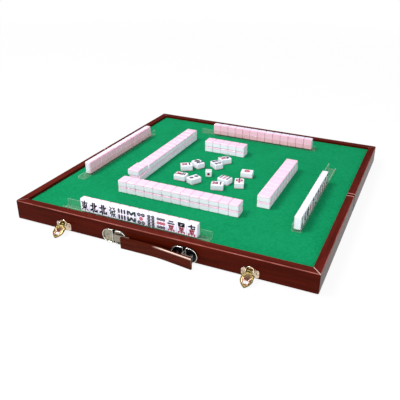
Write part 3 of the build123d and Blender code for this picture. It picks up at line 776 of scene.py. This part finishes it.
def rounded_box(steps, radius):
    """The six faces of a box as grids pushed onto a rounded box: each point lies a radius from the
    nearest inner point. Steps are the grid lines along each axis. Gives each face's axis and side, its
    two coordinates, points, normals and quads."""
    half = np.array([line[-1] for line in steps])
    for axis in range(3):
        for side in (-1.0, 1.0):
            u_axis, v_axis = (axis + 1) % 3, (axis + 2) % 3
            u, v = np.meshgrid(steps[u_axis], steps[v_axis], indexing="ij")
            grid = np.empty((*u.shape, 3))
            grid[..., axis], grid[..., u_axis], grid[..., v_axis] = side * half[axis], u, v
            inner = np.clip(grid, radius - half, half - radius)
            normal = (grid - inner) / np.linalg.norm(grid - inner, axis=-1, keepdims=True)
            quads = grid_faces(*u.shape)
            yield axis, side, u, v, inner + radius * normal, normal, quads if side < 0 else quads[:, ::-1]


def tile_block():
    """One tile: a rounded box with four grid lines each way, its doubled points merged."""
    steps = [np.array([-h, -h + tile_round, h - tile_round, h]) for h in tile_size / 2]
    points, normals, faces = [], [], []
    for _, _, _, _, place, normal, quads in rounded_box(steps, tile_round):
        faces.append(quads + place[..., 0].size * len(points))
        points.append(place.reshape(-1, 3))
        normals.append(normal.reshape(-1, 3))
    points, normals, faces = np.concatenate(points), np.concatenate(normals), np.concatenate(faces)
    _, first, back = np.unique(np.round(points, 8), axis=0, return_index=True, return_inverse=True)
    return points[first], normals[first], back.reshape(-1)[faces]


block_points, block_normals, block_faces = tile_block()


def tile_row(name, node, towards, pale=0.0):
    """Copies of the rounded block on every tile of a node, with the depth from back to face at each point
    and a tone for each tile, to which pale is added: pale is painted light that makes a group's pink backs paler."""
    middle, axes = tile_places(node, towards)
    count = len(middle)
    points = middle[:, None] + np.einsum("nij,pj->npi", axes, block_points)
    normals = np.einsum("nij,pj->npi", axes, block_normals).reshape(-1, 3)
    faces = block_faces[None] + len(block_points) * np.arange(count)[:, None, None]
    piece = mesh_piece(name, points.reshape(-1, 3), faces.reshape(-1, 4))
    piece.data.shade_smooth()
    piece.data.normals_split_custom_set_from_vertices(normals.tolist())
    note(piece, "depth", np.tile(block_points[:, 2] / tile_size[2] + 0.5, count))
    note(piece, "tone", np.repeat(0.3 * dice.random(count) + pale, len(block_points)))
    dress(piece, resin)
    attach(piece, body_of[node])
    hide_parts(node)
    return middle, axes


def tile_resin():
    """Resin in two colours that meet at a share of the thickness, each tile a little different in tone; the tone
    also carries each group's painted light, which pales the pink.
    """
    finish = Finish("tile_resin", {"Specular IOR Level": 0.5, "Coat Weight": 0.2, "Coat Roughness": 0.08})
    depth, tone = finish.attribute("depth"), finish.attribute("tone")
    clouds = finish.noise(finish.place(), 0.004, detail=2.0)
    white = finish.tint(tone * 0.7 + clouds * 0.3, colour(242, 240, 255), colour(250, 247, 255))
    pink = finish.tint(tone * 0.8 + clouds * 0.2, colour(255, 194, 214), colour(255, 219, 237))
    # Painted glare: where the tone passes 1.1, as in the right hand, the pink fades halfway to white.
    pink = finish.tint(tone.ramp(1.1, 1.3) * 0.5, pink, white)
    seam = depth.ramp(back_share - 0.02, back_share + 0.02)
    finish.set({"Base Color": finish.tint(seam, pink, white), "Roughness": 0.18 + 0.1 * clouds})
    return finish


dice = np.random.default_rng(7)
resin = tile_resin()

# ---- Walls of tiles ----
# The resin tiles not yet drawn lie face down, two high and side by side, in a square that is broken at
# its right and rear, where the players have drawn. Nothing but their weight holds them.
for wall in ("front", "left_front", "left_rear", "rear", "right_front", "right_rear"):
    tile_row(f"wall_{wall}_blocks", f"wall_{wall}_tiles", (0, 0, -1), wall_painted_paleness)


# ---- Marks on the tiles ----
# Each face is cut with one of the game's common signs: dots, bamboo sticks, numerals over the sign for
# ten thousand, the four winds and the dragons. The cuts are filled with dark, red or green paint.
def ink(name, shade):
    """Paint in a cut: a flat tone, a little uneven, with a soft shine."""
    finish = Finish(name, {"Roughness": 0.4})
    grain = finish.noise(finish.place(), 0.0005, detail=2.0)
    darker = tuple(0.7 * value for value in shade)
    finish.set({"Base Color": finish.tint(grain, shade, darker)})
    return finish


inks = {"dark": ink("dark_paint", colour(16, 20, 34)), "red": ink("red_paint", colour(206, 44, 66)),
        "green": ink("green_paint", colour(26, 66, 58)), "white": ink("white_paint", colour(240, 241, 244))}
ink_order = list(inks)
paint_depth = 0.00004  # how far each layer of paint stands proud, and lies below, the face

# Strokes from one end to the other, in a square from -1 to 1.
signs = {
    "one": [(-1, 0, 1, 0.05)],
    "two": [(-0.6, 0.5, 0.6, 0.5), (-1, -0.6, 1, -0.6)],
    "three": [(-0.8, 0.85, 0.8, 0.85), (-0.6, 0, 0.6, 0), (-1, -0.85, 1, -0.85)],
    "four": [(-0.9, 0.8, -0.85, -0.8), (-0.9, 0.8, 0.9, 0.8), (0.9, 0.8, 0.85, -0.8),
             (-0.85, -0.75, 0.85, -0.75), (-0.25, 0.8, -0.5, -0.3), (0.25, 0.8, 0.25, -0.15),
             (0.25, -0.15, 0.8, -0.2)],
    "five": [(-0.8, 0.9, 0.8, 0.9), (-0.1, 0.9, -0.35, -0.85), (-0.7, 0.15, 0.6, 0.15),
             (0.6, 0.15, 0.5, -0.85), (-1, -0.9, 1, -0.9)],
    "six": [(0, 1, 0.12, 0.6), (-1, 0.25, 1, 0.25), (-0.3, 0, -0.8, -0.95), (0.25, 0, 0.85, -0.95)],
    "seven": [(-1, 0.05, 1, 0.4), (-0.15, 1, -0.15, -0.75), (-0.15, -0.8, 0.8, -0.85),
              (0.8, -0.85, 0.95, -0.4)],
    "eight": [(-0.3, 0.6, -0.95, -0.85), (0.1, 0.85, 0.95, -0.85)],
    "nine": [(-0.9, 0.4, 0.4, 0.5), (-0.2, 1, -0.25, 0.2), (-0.25, 0.2, -0.9, -0.95),
             (0.4, 0.5, 0.35, -0.7), (0.35, -0.75, 1, -0.8), (1, -0.8, 1, -0.35)],
    "myriad": [(-0.8, 0.85, 0.8, 0.85), (-0.3, 1, -0.35, 0.7), (0.3, 1, 0.35, 0.7),
               (-0.55, 0.5, 0.55, 0.5), (-0.55, 0.5, -0.5, 0.0), (0.55, 0.5, 0.5, 0.0),
               (-0.5, 0.0, 0.5, 0.0), (0, 0.5, 0, -0.8), (-0.95, -0.42, 0.95, -0.42),
               (-0.95, -0.42, -1, -1), (0.95, -0.42, 0.85, -1)],
    "east": [(-0.9, 0.68, 0.9, 0.68), (0, 1, 0, -1), (-0.6, 0.4, 0.6, 0.4), (-0.6, 0.4, -0.6, -0.25),
             (0.6, 0.4, 0.6, -0.25), (-0.6, 0.08, 0.6, 0.08), (-0.6, -0.25, 0.6, -0.25),
             (-0.1, -0.3, -0.95, -0.9), (0.1, -0.3, 0.95, -0.9)],
    "south": [(-0.7, 0.78, 0.7, 0.78), (0, 1, 0, 0.38), (-0.85, 0.38, 0.85, 0.38),
              (-0.85, 0.38, -0.85, -1), (0.85, 0.38, 0.85, -1), (-0.4, 0.02, 0.4, 0.02),
              (-0.45, -0.35, 0.45, -0.35), (0, 0.02, 0, -0.85)],
    "west": [(-0.95, 0.8, 0.95, 0.8), (-0.8, 0.35, 0.8, 0.35), (-0.8, 0.35, -0.75, -0.85),
             (0.8, 0.35, 0.75, -0.85), (-0.75, -0.8, 0.75, -0.8), (-0.25, 0.8, -0.3, 0),
             (-0.3, 0, -0.6, -0.35), (0.25, 0.8, 0.25, -0.2), (0.25, -0.2, 0.65, -0.2)],
    "north": [(-0.3, 0.9, -0.3, -0.95), (-0.95, 0.3, -0.3, 0.3), (-1, -0.65, -0.3, -0.35),
              (0.25, 0.9, 0.25, -0.75), (0.25, -0.75, 0.95, -0.75), (0.95, -0.75, 0.95, -0.4),
              (0.25, 0.15, 0.85, 0.5)],
    "middle": [(-0.8, 0.45, 0.8, 0.45), (-0.8, 0.45, -0.75, -0.2), (0.8, 0.45, 0.75, -0.2),
               (-0.75, -0.2, 0.75, -0.2), (0, 1, 0, -1)],
    "wealth": [(-0.75, 0.95, -0.2, 0.75), (-0.2, 0.75, -0.85, 0.25), (0.15, 0.95, 0.9, 0.3),
               (0.75, 0.95, 0.4, 0.65), (-0.6, 0.18, -0.1, 0.18), (-0.1, 0.18, -0.12, -0.12),
               (-0.6, -0.12, -0.12, -0.12), (-0.6, -0.12, -0.6, -0.42), (-0.6, -0.42, -0.12, -0.42),
               (-0.12, -0.42, -0.3, -0.95), (0.2, 0.22, 0.12, -0.15), (0.2, 0.22, 0.6, 0.22),
               (0.6, 0.22, 0.7, -0.1), (0.05, -0.38, 0.75, -0.38), (0.75, -0.38, 0.15, -0.95),
               (0.25, -0.5, 0.9, -0.95)],
    "frame": [(-0.8, 0.95, 0.8, 0.95), (0.8, 0.95, 0.8, -0.95), (0.8, -0.95, -0.8, -0.95),
              (-0.8, -0.95, -0.8, 0.95)],
}
numerals = ["one", "two", "three", "four", "five", "six", "seven", "eight", "nine"]
# How many dots or sticks stand in each row, from the top.
rows_of = {1: (1,), 2: (1, 1), 3: (1, 2), 4: (2, 2), 5: (2, 1, 2), 6: (3, 3), 7: (1, 3, 3), 8: (2, 2, 2, 2),
           9: (3, 3, 3)}
dot_radius = {1: 0.0048, 2: 0.0034, 3: 0.0029, 4: 0.003, 5: 0.0029, 6: 0.0023, 7: 0.0023, 8: 0.0026,
              9: 0.0023}
ring_share, core_share = 0.42, 0.3  # a dot's white ring and its core, as shares of its radius
dot_reach, wide_pitch, close_pitch = 0.0084, 0.003, 0.00205  # across the rows; half from dot to dot in one
stick_reach, stick_pitch, stick_width = 0.0092, 0.0022, 0.0031
stick_length = {1: 0.012, 2: 0.0058, 3: 0.003}  # by the number of rows
stroke_near, stroke_far = 0.2, 1.7  # where a stick's two strokes start and end, in quarters of its length
eight_reach, eight_pitch, eight_lean = 0.0046, 0.0018, 0.62  # the eight's two zigzag rows
# Signs: height of the middle on the face, half width and half height, and width of the brush.
numeral_place, numeral_half, numeral_width = 0.005, (0.0044, 0.003), 0.0025
myriad_place, myriad_half, myriad_width = -0.0038, (0.0046, 0.0046), 0.0017
honour_half, honour_width, fine_width = (0.0053, 0.0074), 0.0027, 0.0018


def disc(x, y, radius):
    """Round outline."""
    turn = np.linspace(0, 2 * np.pi, 14, endpoint=False)
    return np.stack([x + radius * np.cos(turn), y + radius * np.sin(turn)], -1)


def brush(x0, y0, x1, y1, width):
    """A stroke's outline: round ends, a little thinner at the middle."""
    along = np.array([x1 - x0, y1 - y0])
    turn = math.atan2(along[1], along[0])
    start = arc((x0, y0), width / 2, math.degrees(turn) + 90, math.degrees(turn) + 270, 4)
    end = arc((x1, y1), 0.45 * width, math.degrees(turn) - 90, math.degrees(turn) + 90, 4)
    across = 0.42 * width * np.array([-math.sin(turn), math.cos(turn)])
    waist = np.array([x0 + x1, y0 + y1]) / 2
    return np.concatenate([start, [waist - across], end, [waist + across]])


def strokes(sign, shade, middle_y, half, width):
    """One written sign, scaled to its place on the face."""
    lines = np.array(signs[sign]) * [*half, *half]
    return [(brush(x0, middle_y + y0, x1, middle_y + y1, width), shade, 1) for x0, y0, x1, y1 in lines]


def dots(count):
    """Rows of ringed dots. Where the number of rows is odd, the middle one is red."""
    rows, radius, made = rows_of[count], dot_radius[count], []
    for row, many in enumerate(rows):
        y = (len(rows) - 1 - 2 * row) * (dot_reach / max(len(rows) - 0.2, 1.6))
        shade = "red" if len(rows) % 2 and row == len(rows) // 2 else "dark"
        for n in range(many):
            x = (2 * n + 1 - many) * (wide_pitch if many < 3 else close_pitch)
            made += [(disc(x, y, radius), shade, 1), (disc(x, y, ring_share * radius), "white", 2),
                     (disc(x, y, core_share * radius), shade, 3)]
    return made


def stick(x, y, length, shade, lean=0.0):
    """A bamboo stick: two short strokes end to end, with a joint between them."""
    towards = np.array([math.sin(lean), math.cos(lean)])
    near, far = (quarters * length / 4 * towards for quarters in (stroke_near, stroke_far))
    return [(brush(x + s * near[0], y + s * near[1], x + s * far[0], y + s * far[1], stick_width), shade, 1)
            for s in (-1, 1)]


def sticks(count):
    """Rows of bamboo sticks. Eight are drawn as two rows that lean in and out like an M over a W."""
    made = []
    if count == 8:
        for sign in (1, -1):
            for n, lean in enumerate((0.0, -eight_lean * sign, eight_lean * sign, 0.0)):
                made += stick((2 * n - 3) * eight_pitch, sign * eight_reach, stick_length[2], "green", lean)
        return made
    rows = rows_of[count]
    for row, many in enumerate(rows):
        y = (len(rows) - 1 - 2 * row) * (stick_reach / max(len(rows), 1.6))
        for n in range(many):
            red = (count in (5, 7) and many == 1) or (count == 9 and row == 1)
            x = (2 * n + 1 - many) * stick_pitch
            made += stick(x, y, stick_length[len(rows)], "red" if red else "dark")
    return made


def face_marks(kind):
    """Outlines, paint and layer of one face: suit and number, a wind or a dragon."""
    suit, number = kind.split("-") if "-" in kind else (kind, "0")
    if suit == "dots":
        return dots(int(number))
    if suit == "bamboo":
        return sticks(int(number))
    if suit == "character":
        numeral = strokes(numerals[int(number) - 1], "dark", numeral_place, numeral_half, numeral_width)
        return numeral + strokes("myriad", "red", myriad_place, myriad_half, myriad_width)
    shade = {"middle": "red", "wealth": "green"}.get(suit, "dark")
    return strokes(suit, shade, 0.0, honour_half, fine_width if suit in ("wealth", "east") else honour_width)


def paint_faces(name, body, middle, axes, kinds):
    """Thin plates of paint, one per outline, that reach a little into the faces and stand just proud."""
    points, faces, shades, count = [], [], [], 0
    for centre, turn, kind in zip(middle, axes, kinds):
        for outline, shade, layer in face_marks(kind):
            n = len(outline)
            for height in (-paint_depth, paint_depth * layer / 2):
                flat = np.column_stack([outline, np.full(n, tile_size[2] / 2 + height)])
                points.append(centre + flat @ turn.T)
            faces += [list(range(count, count + n))[::-1], list(range(count + n, count + 2 * n))]
            faces += (grid_faces(2, n, wrap_columns=True) + count).tolist()
            shades += [ink_order.index(shade)] * (n + 2)
            count += 2 * n
    piece = mesh_piece(name, np.concatenate(points), faces)
    for shade in ink_order:
        piece.data.materials.append(inks[shade].material)
    piece.data.polygons.foreach_set("material_index", shades)
    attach(piece, body)


kinds = [f"{suit}-{n}" for suit in ("dots", "character") for n in range(1, 10)]
kinds += [f"bamboo-{n}" for n in range(2, 10)]
kinds += ["east", "south", "west", "north", "middle", "wealth", "frame"]
deck = sorted(kinds * 4)

# ---- Racks and hands ----
# Each player's hand stands in a clear acrylic rack: a strip bent to a base, a back wall half as high as
# a tile and a low front lip, with its edges flame polished. The faces look out at the player.
rack_base, rack_wall, rack_round = 0.002, 0.0015, 0.0003
rack_back, rack_lip = 0.0105, 0.004  # heights of the back wall and the front lip
facing = {"front": (0, -1, 0), "right": (1, 0, 0), "rear": (0, 1, 0), "left": (-1, 0, 0)}


def rack_profile(depth):
    """Cross-section from the front lip over the channel to the back wall, about the base's middle."""
    near, far = -depth / 2, depth / 2
    inner_near, inner_far = near + rack_wall, far - rack_wall
    return np.array([(near, 0), (far, 0), (far, rack_back), (inner_far, rack_back), (inner_far, rack_base),
                     (inner_near, rack_base), (inner_near, rack_lip), (near, rack_lip)])


def clear_acrylic(name, clear_share):
    """Clear sheet: mostly let through, brighter where it is seen edge on, with faint scuffs."""
    finish = Finish(name, {"Roughness": 0.06, "Specular IOR Level": 0.5})
    finish.set({"Base Color": colour(226, 236, 230)})
    through = finish.add("ShaderNodeBsdfTransparent", {}, {"Color": (0.985, 0.965, 0.945)})
    edge_on = finish.add("ShaderNodeLayerWeight", {}, {"Blend": 0.2}, "Facing")
    scuffs = finish.noise(finish.place(), 0.003, (4.0, 4.0, 1.0), 4.0).ramp(0.55, 0.75)
    finish.mix_in(1.0 - clear_share * (edge_on * 0.12 + 0.015 + scuffs * 0.025), through)
    return finish


acrylic = clear_acrylic("clear_acrylic", 1.0)
acrylic_edge = clear_acrylic("acrylic_edge", 5.0)
edge_faces = (2, 6, 8, 9)  # tops of the wall and the lip, and the two ends
front_hand = ["east", "north", "north", "wealth", "bamboo-6", "bamboo-8", "dots-5", "dots-8", "dots-9",
              "character-2", "character-4", "character-7"]
loose_hand = ["character-1", "north", "character-2", "dots-2", "middle", "bamboo-9", "character-1",
              "dots-1", "dots-4", "character-9"]
for kind in front_hand + loose_hand:
    deck.remove(kind)
drawn = list(dice.permutation(deck))
for side, towards in facing.items():
    low, high = (np.array(corner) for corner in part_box(f"rack_{side}"))
    across = -np.array(towards, dtype=float)
    along = np.cross(across, (0, 0, 1))
    span, depth = abs((high - low) @ along), abs((high - low) @ across)
    middle = np.array([(low[0] + high[0]) / 2, (low[1] + high[1]) / 2, low[2]])
    profile = rack_profile(depth)
    section = profile[:, :1] * across + profile[:, 1:] * np.array([0.0, 0.0, 1.0])
    rings = middle + np.array([-span / 2, span / 2])[:, None, None] * along + section[None]
    channel = outwards(skin(f"{side}_rack_channel", rings))
    polish = channel.modifiers.new("polished edges", "BEVEL")
    polish.width, polish.segments, polish.limit_method = rack_round, 2, "ANGLE"
    smooth(channel, math.radians(30))
    dress(channel, acrylic)
    channel.data.materials.append(acrylic_edge.material)
    for face in edge_faces:
        channel.data.polygons[face].material_index = 1
    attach(channel, f"{side}_rack")
    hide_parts(f"rack_{side}")
    pale = right_hand_painted_glare if side == "right" else 0.0
    tiles, turns = tile_row(f"{side}_hand_blocks", f"rack_{side}_tiles", towards, pale)
    if side == "front":
        hand = front_hand
        order = np.argsort(tiles[:, 0])
        tiles, turns = tiles[order], turns[order]
    else:
        hand, drawn = drawn[:len(tiles)], drawn[len(tiles):]
    paint_faces(f"{side}_hand_marks", f"{side}_rack", tiles, turns, hand)

# ---- Loose tiles ----
# Ten tiles of the same resin, thrown by the players, lie face up in the middle of the table, turned
# every way. Nothing fixes them.
for half in ("front", "rear"):
    tiles, turns = tile_row(f"loose_{half}_blocks", f"loose_{half}_tiles", (0, 0, 1), loose_painted_paleness)
    hand, loose_hand = loose_hand[:len(tiles)], loose_hand[len(tiles):]
    paint_faces(f"loose_{half}_marks", f"loose_{half}", tiles, turns, hand)

# ---- Die ----
# One small white die of cast resin with tumbled edges. Its pips are round hollows with paint in them,
# red for the single pip and the four, dark for the rest.
die_turn = math.radians(22)
die_round, die_steps = 0.0016, 41
single_pip, small_pip = 0.0022, 0.0009  # radii
pip_spread, pip_depth = 0.46, 0.45  # as shares of the die's half width, and of a pip's radius
red_pips = (1, 4)
pip_places = {1: [(0, 0)], 2: [(-1, -1), (1, 1)], 3: [(-1, -1), (0, 0), (1, 1)],
              4: [(-1, -1), (-1, 1), (1, -1), (1, 1)], 5: [(-1, -1), (-1, 1), (0, 0), (1, -1), (1, 1)],
              6: [(-1, -1), (-1, 0), (-1, 1), (1, -1), (1, 0), (1, 1)]}
die_faces = {(1, -1): 1, (1, 1): 6, (2, 1): 5, (2, -1): 2, (0, 1): 3, (0, -1): 4}


def die_skin():
    """Six square grids on a rounded cube; a point inside a pip's circle sinks by a bowl's depth."""
    low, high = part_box("die")
    half = (high.z - low.z) / 2
    centre = np.array(((low.x + high.x) / 2, (low.y + high.y) / 2, low.z + half))
    points, faces, pips = [], [], []
    levels = [np.linspace(-half, half, die_steps)] * 3
    for axis, side, u, v, shell, _, quads in rounded_box(levels, die_round):
        number = die_faces[(axis, side)]
        radius = single_pip if number == 1 else small_pip
        depth = np.zeros_like(u)
        for a, b in pip_places[number]:
            away = np.hypot(u - pip_spread * half * a, v - pip_spread * half * b) / radius
            depth = np.maximum(depth, np.clip(1 - away**2, 0, 1))
        shell[..., axis] -= side * pip_depth * radius * np.sqrt(depth)
        faces.append(quads + u.size * len(points))
        points.append(shell.reshape(-1, 3))
        pips.append(np.where(depth > 0, 1.0 if number in red_pips else 0.5, 0.0).reshape(-1))
    c, s = math.cos(die_turn), math.sin(die_turn)
    turn = np.array([[c, -s, 0], [s, c, 0], [0, 0, 1]])
    return np.concatenate(points) @ turn.T + centre, np.concatenate(faces), np.concatenate(pips)


die_points, die_quads, die_pips = die_skin()
die = mesh_piece("tumbled_die", die_points, die_quads)
note(die, "pip", die_pips)
outwards(die)
smooth(die, math.radians(60))
die_resin = Finish("die_resin", {"Roughness": 0.2, "Coat Weight": 0.2})
pip = die_resin.attribute("pip")
cloud = die_resin.noise(die_resin.place(), 0.003, detail=2.0)
body = die_resin.tint(cloud, colour(246, 246, 247), colour(238, 240, 244))
painted = die_resin.tint(pip.ramp(0.7, 0.8), colour(30, 30, 44), colour(138, 12, 36))
die_resin.set({"Base Color": die_resin.tint(pip.ramp(0.2, 0.3), body, painted)})
dress(die, die_resin)
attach(die, "die_body")
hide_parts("die")

# ---- Table and light ----
# The opened case lies on a plain white table under a soft lamp, with a second, larger one low in front.
# The table's shade fades out far off. What shines reflects a dim room above and the pale table below.
table_reach = 14.0
fade_start, fade_end = 0.4, 4.0  # squares of the distances between which the table's shade fades out
mirrored_share = 0.75  # how bright the table is where it is seen in something shiny
shade_share = 0.1  # how far lamps and shadows show on the table near the case; the rest is plain white
table_finish = Finish("table", {"Base Color": colour(246, 246, 246), "Roughness": 0.9})
corner = np.array([(-1, -1), (1, -1), (1, 1), (-1, 1)]) * table_reach
table = mesh_piece("table", np.column_stack([corner, np.zeros(4)]), [(0, 1, 2, 3)])
table_x, table_y, _ = table_finish.split(table_finish.place())
far_off = (table_x * table_x + table_y * table_y).ramp(fade_start, fade_end)
seen = table_finish.add("ShaderNodeLightPath", {}, {}, "Is Camera Ray")
seen = seen * (1.0 - shade_share + shade_share * far_off)
mirrored = table_finish.add("ShaderNodeLightPath", {}, {}, "Is Glossy Ray")
glow = {"Color": (1.0, 1.0, 1.0), "Strength": 1.0 - (1.0 - mirrored_share) * mirrored}
glow = table_finish.add("ShaderNodeEmission", {}, glow)
table_finish.mix_in(seen.math("MAXIMUM", seen, mirrored), glow)
dress(table, table_finish)

air_strength = 0.75  # of the light from all round; the background itself is plain white
world = bpy.data.worlds.new("studio")
bpy.context.scene.world = world
world.use_nodes = True
room = Nodes(world.node_tree)
direction = room.add("ShaderNodeTexCoord", {}, {}, "Generated")
east, _, height = room.split(direction)
mirrored = room.add("ShaderNodeLightPath", {}, {}, "Is Glossy Ray")
windows = room.noise(direction, 0.55, detail=1.0).ramp(0.5, 0.56)
dim = room.tint(height.ramp(0.1, 0.95), (0.03, 0.03, 0.035), (0.50, 0.51, 0.55))
dim = room.tint(windows * height.ramp(0.5, 0.7), dim, (0.9, 0.9, 0.95))
soft = room.tint(east.ramp(0.0, 0.7), (0.95, 0.93, 1.0), (0.90, 0.88, 1.0))
seen = room.add("ShaderNodeLightPath", {}, {}, "Is Camera Ray")
air = room.tint(seen, room.tint(mirrored, soft, dim), (1.0, 1.0, 1.0))
sky = {"Color": air, "Strength": air_strength + (1.0 - air_strength) * seen}
sky = room.add("ShaderNodeBackground", {}, sky)
room.show(sky, "World Output")


def soft_lamp(name, place, size, power, aim=(0.0, 0.0, 0.02)):
    """A square area lamp of that size in metres and power in watts, turned towards the case."""
    lamp = bpy.data.lights.new(name, "AREA")
    lamp.shape, lamp.size, lamp.energy = "SQUARE", size, power
    holder = bpy.data.objects.new(name, lamp)
    holder.location = place
    away = np.array(place) - np.array(aim)
    tilt = math.acos(away[2] / np.linalg.norm(away))
    holder.rotation_euler = (tilt, 0.0, math.atan2(away[1], away[0]) + math.pi / 2)
    bpy.context.scene.collection.objects.link(holder)


soft_lamp("key", (-0.7, -0.5, 1.5), 0.6, 18.0)
soft_lamp("front", (0.7, -1.9, 0.8), 1.6, 19.5)

# ---- Camera ----
# It looks down at the case from the front and a little to the right, from just under a metre away.
# Its picture is square, and the point it aims at lies off the picture's centre, so the lens is shifted.
camera_azimuth, camera_elevation, camera_roll = (math.radians(angle) for angle in (21.678, 25.737, 1.423))
camera_distance = 0.895888
aim_point = np.array([0.011096, fold_y + 0.007281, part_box("front_half_front_rail")[0].z])
focal_pixels, image_pixels = 528.96, 400
picture_centre = (226.452, 185.058)
back = np.array([math.sin(camera_azimuth) * math.cos(camera_elevation),
                 -math.cos(camera_azimuth) * math.cos(camera_elevation), math.sin(camera_elevation)])
right = np.cross(-back, (0, 0, 1))
right /= np.linalg.norm(right)
up = np.cross(right, -back)
tilted_right = math.cos(camera_roll) * right + math.sin(camera_roll) * up
tilted_up = -math.sin(camera_roll) * right + math.cos(camera_roll) * up
lens = bpy.data.cameras.new("camera")
lens.sensor_width = 36.0
lens.lens = focal_pixels * lens.sensor_width / image_pixels
lens.shift_x = (image_pixels / 2 - picture_centre[0]) / image_pixels
lens.shift_y = (picture_centre[1] - image_pixels / 2) / image_pixels
lens.clip_end = 100.0
camera = bpy.data.objects.new("camera", lens)
bpy.context.scene.collection.objects.link(camera)
turn = np.eye(4)
turn[:3, 0], turn[:3, 1], turn[:3, 2] = tilted_right, tilted_up, back
turn[:3, 3] = aim_point + camera_distance * back
camera.matrix_world = turn.T.tolist()
bpy.context.scene.camera = camera
bpy.context.scene.view_settings.view_transform = "Standard"
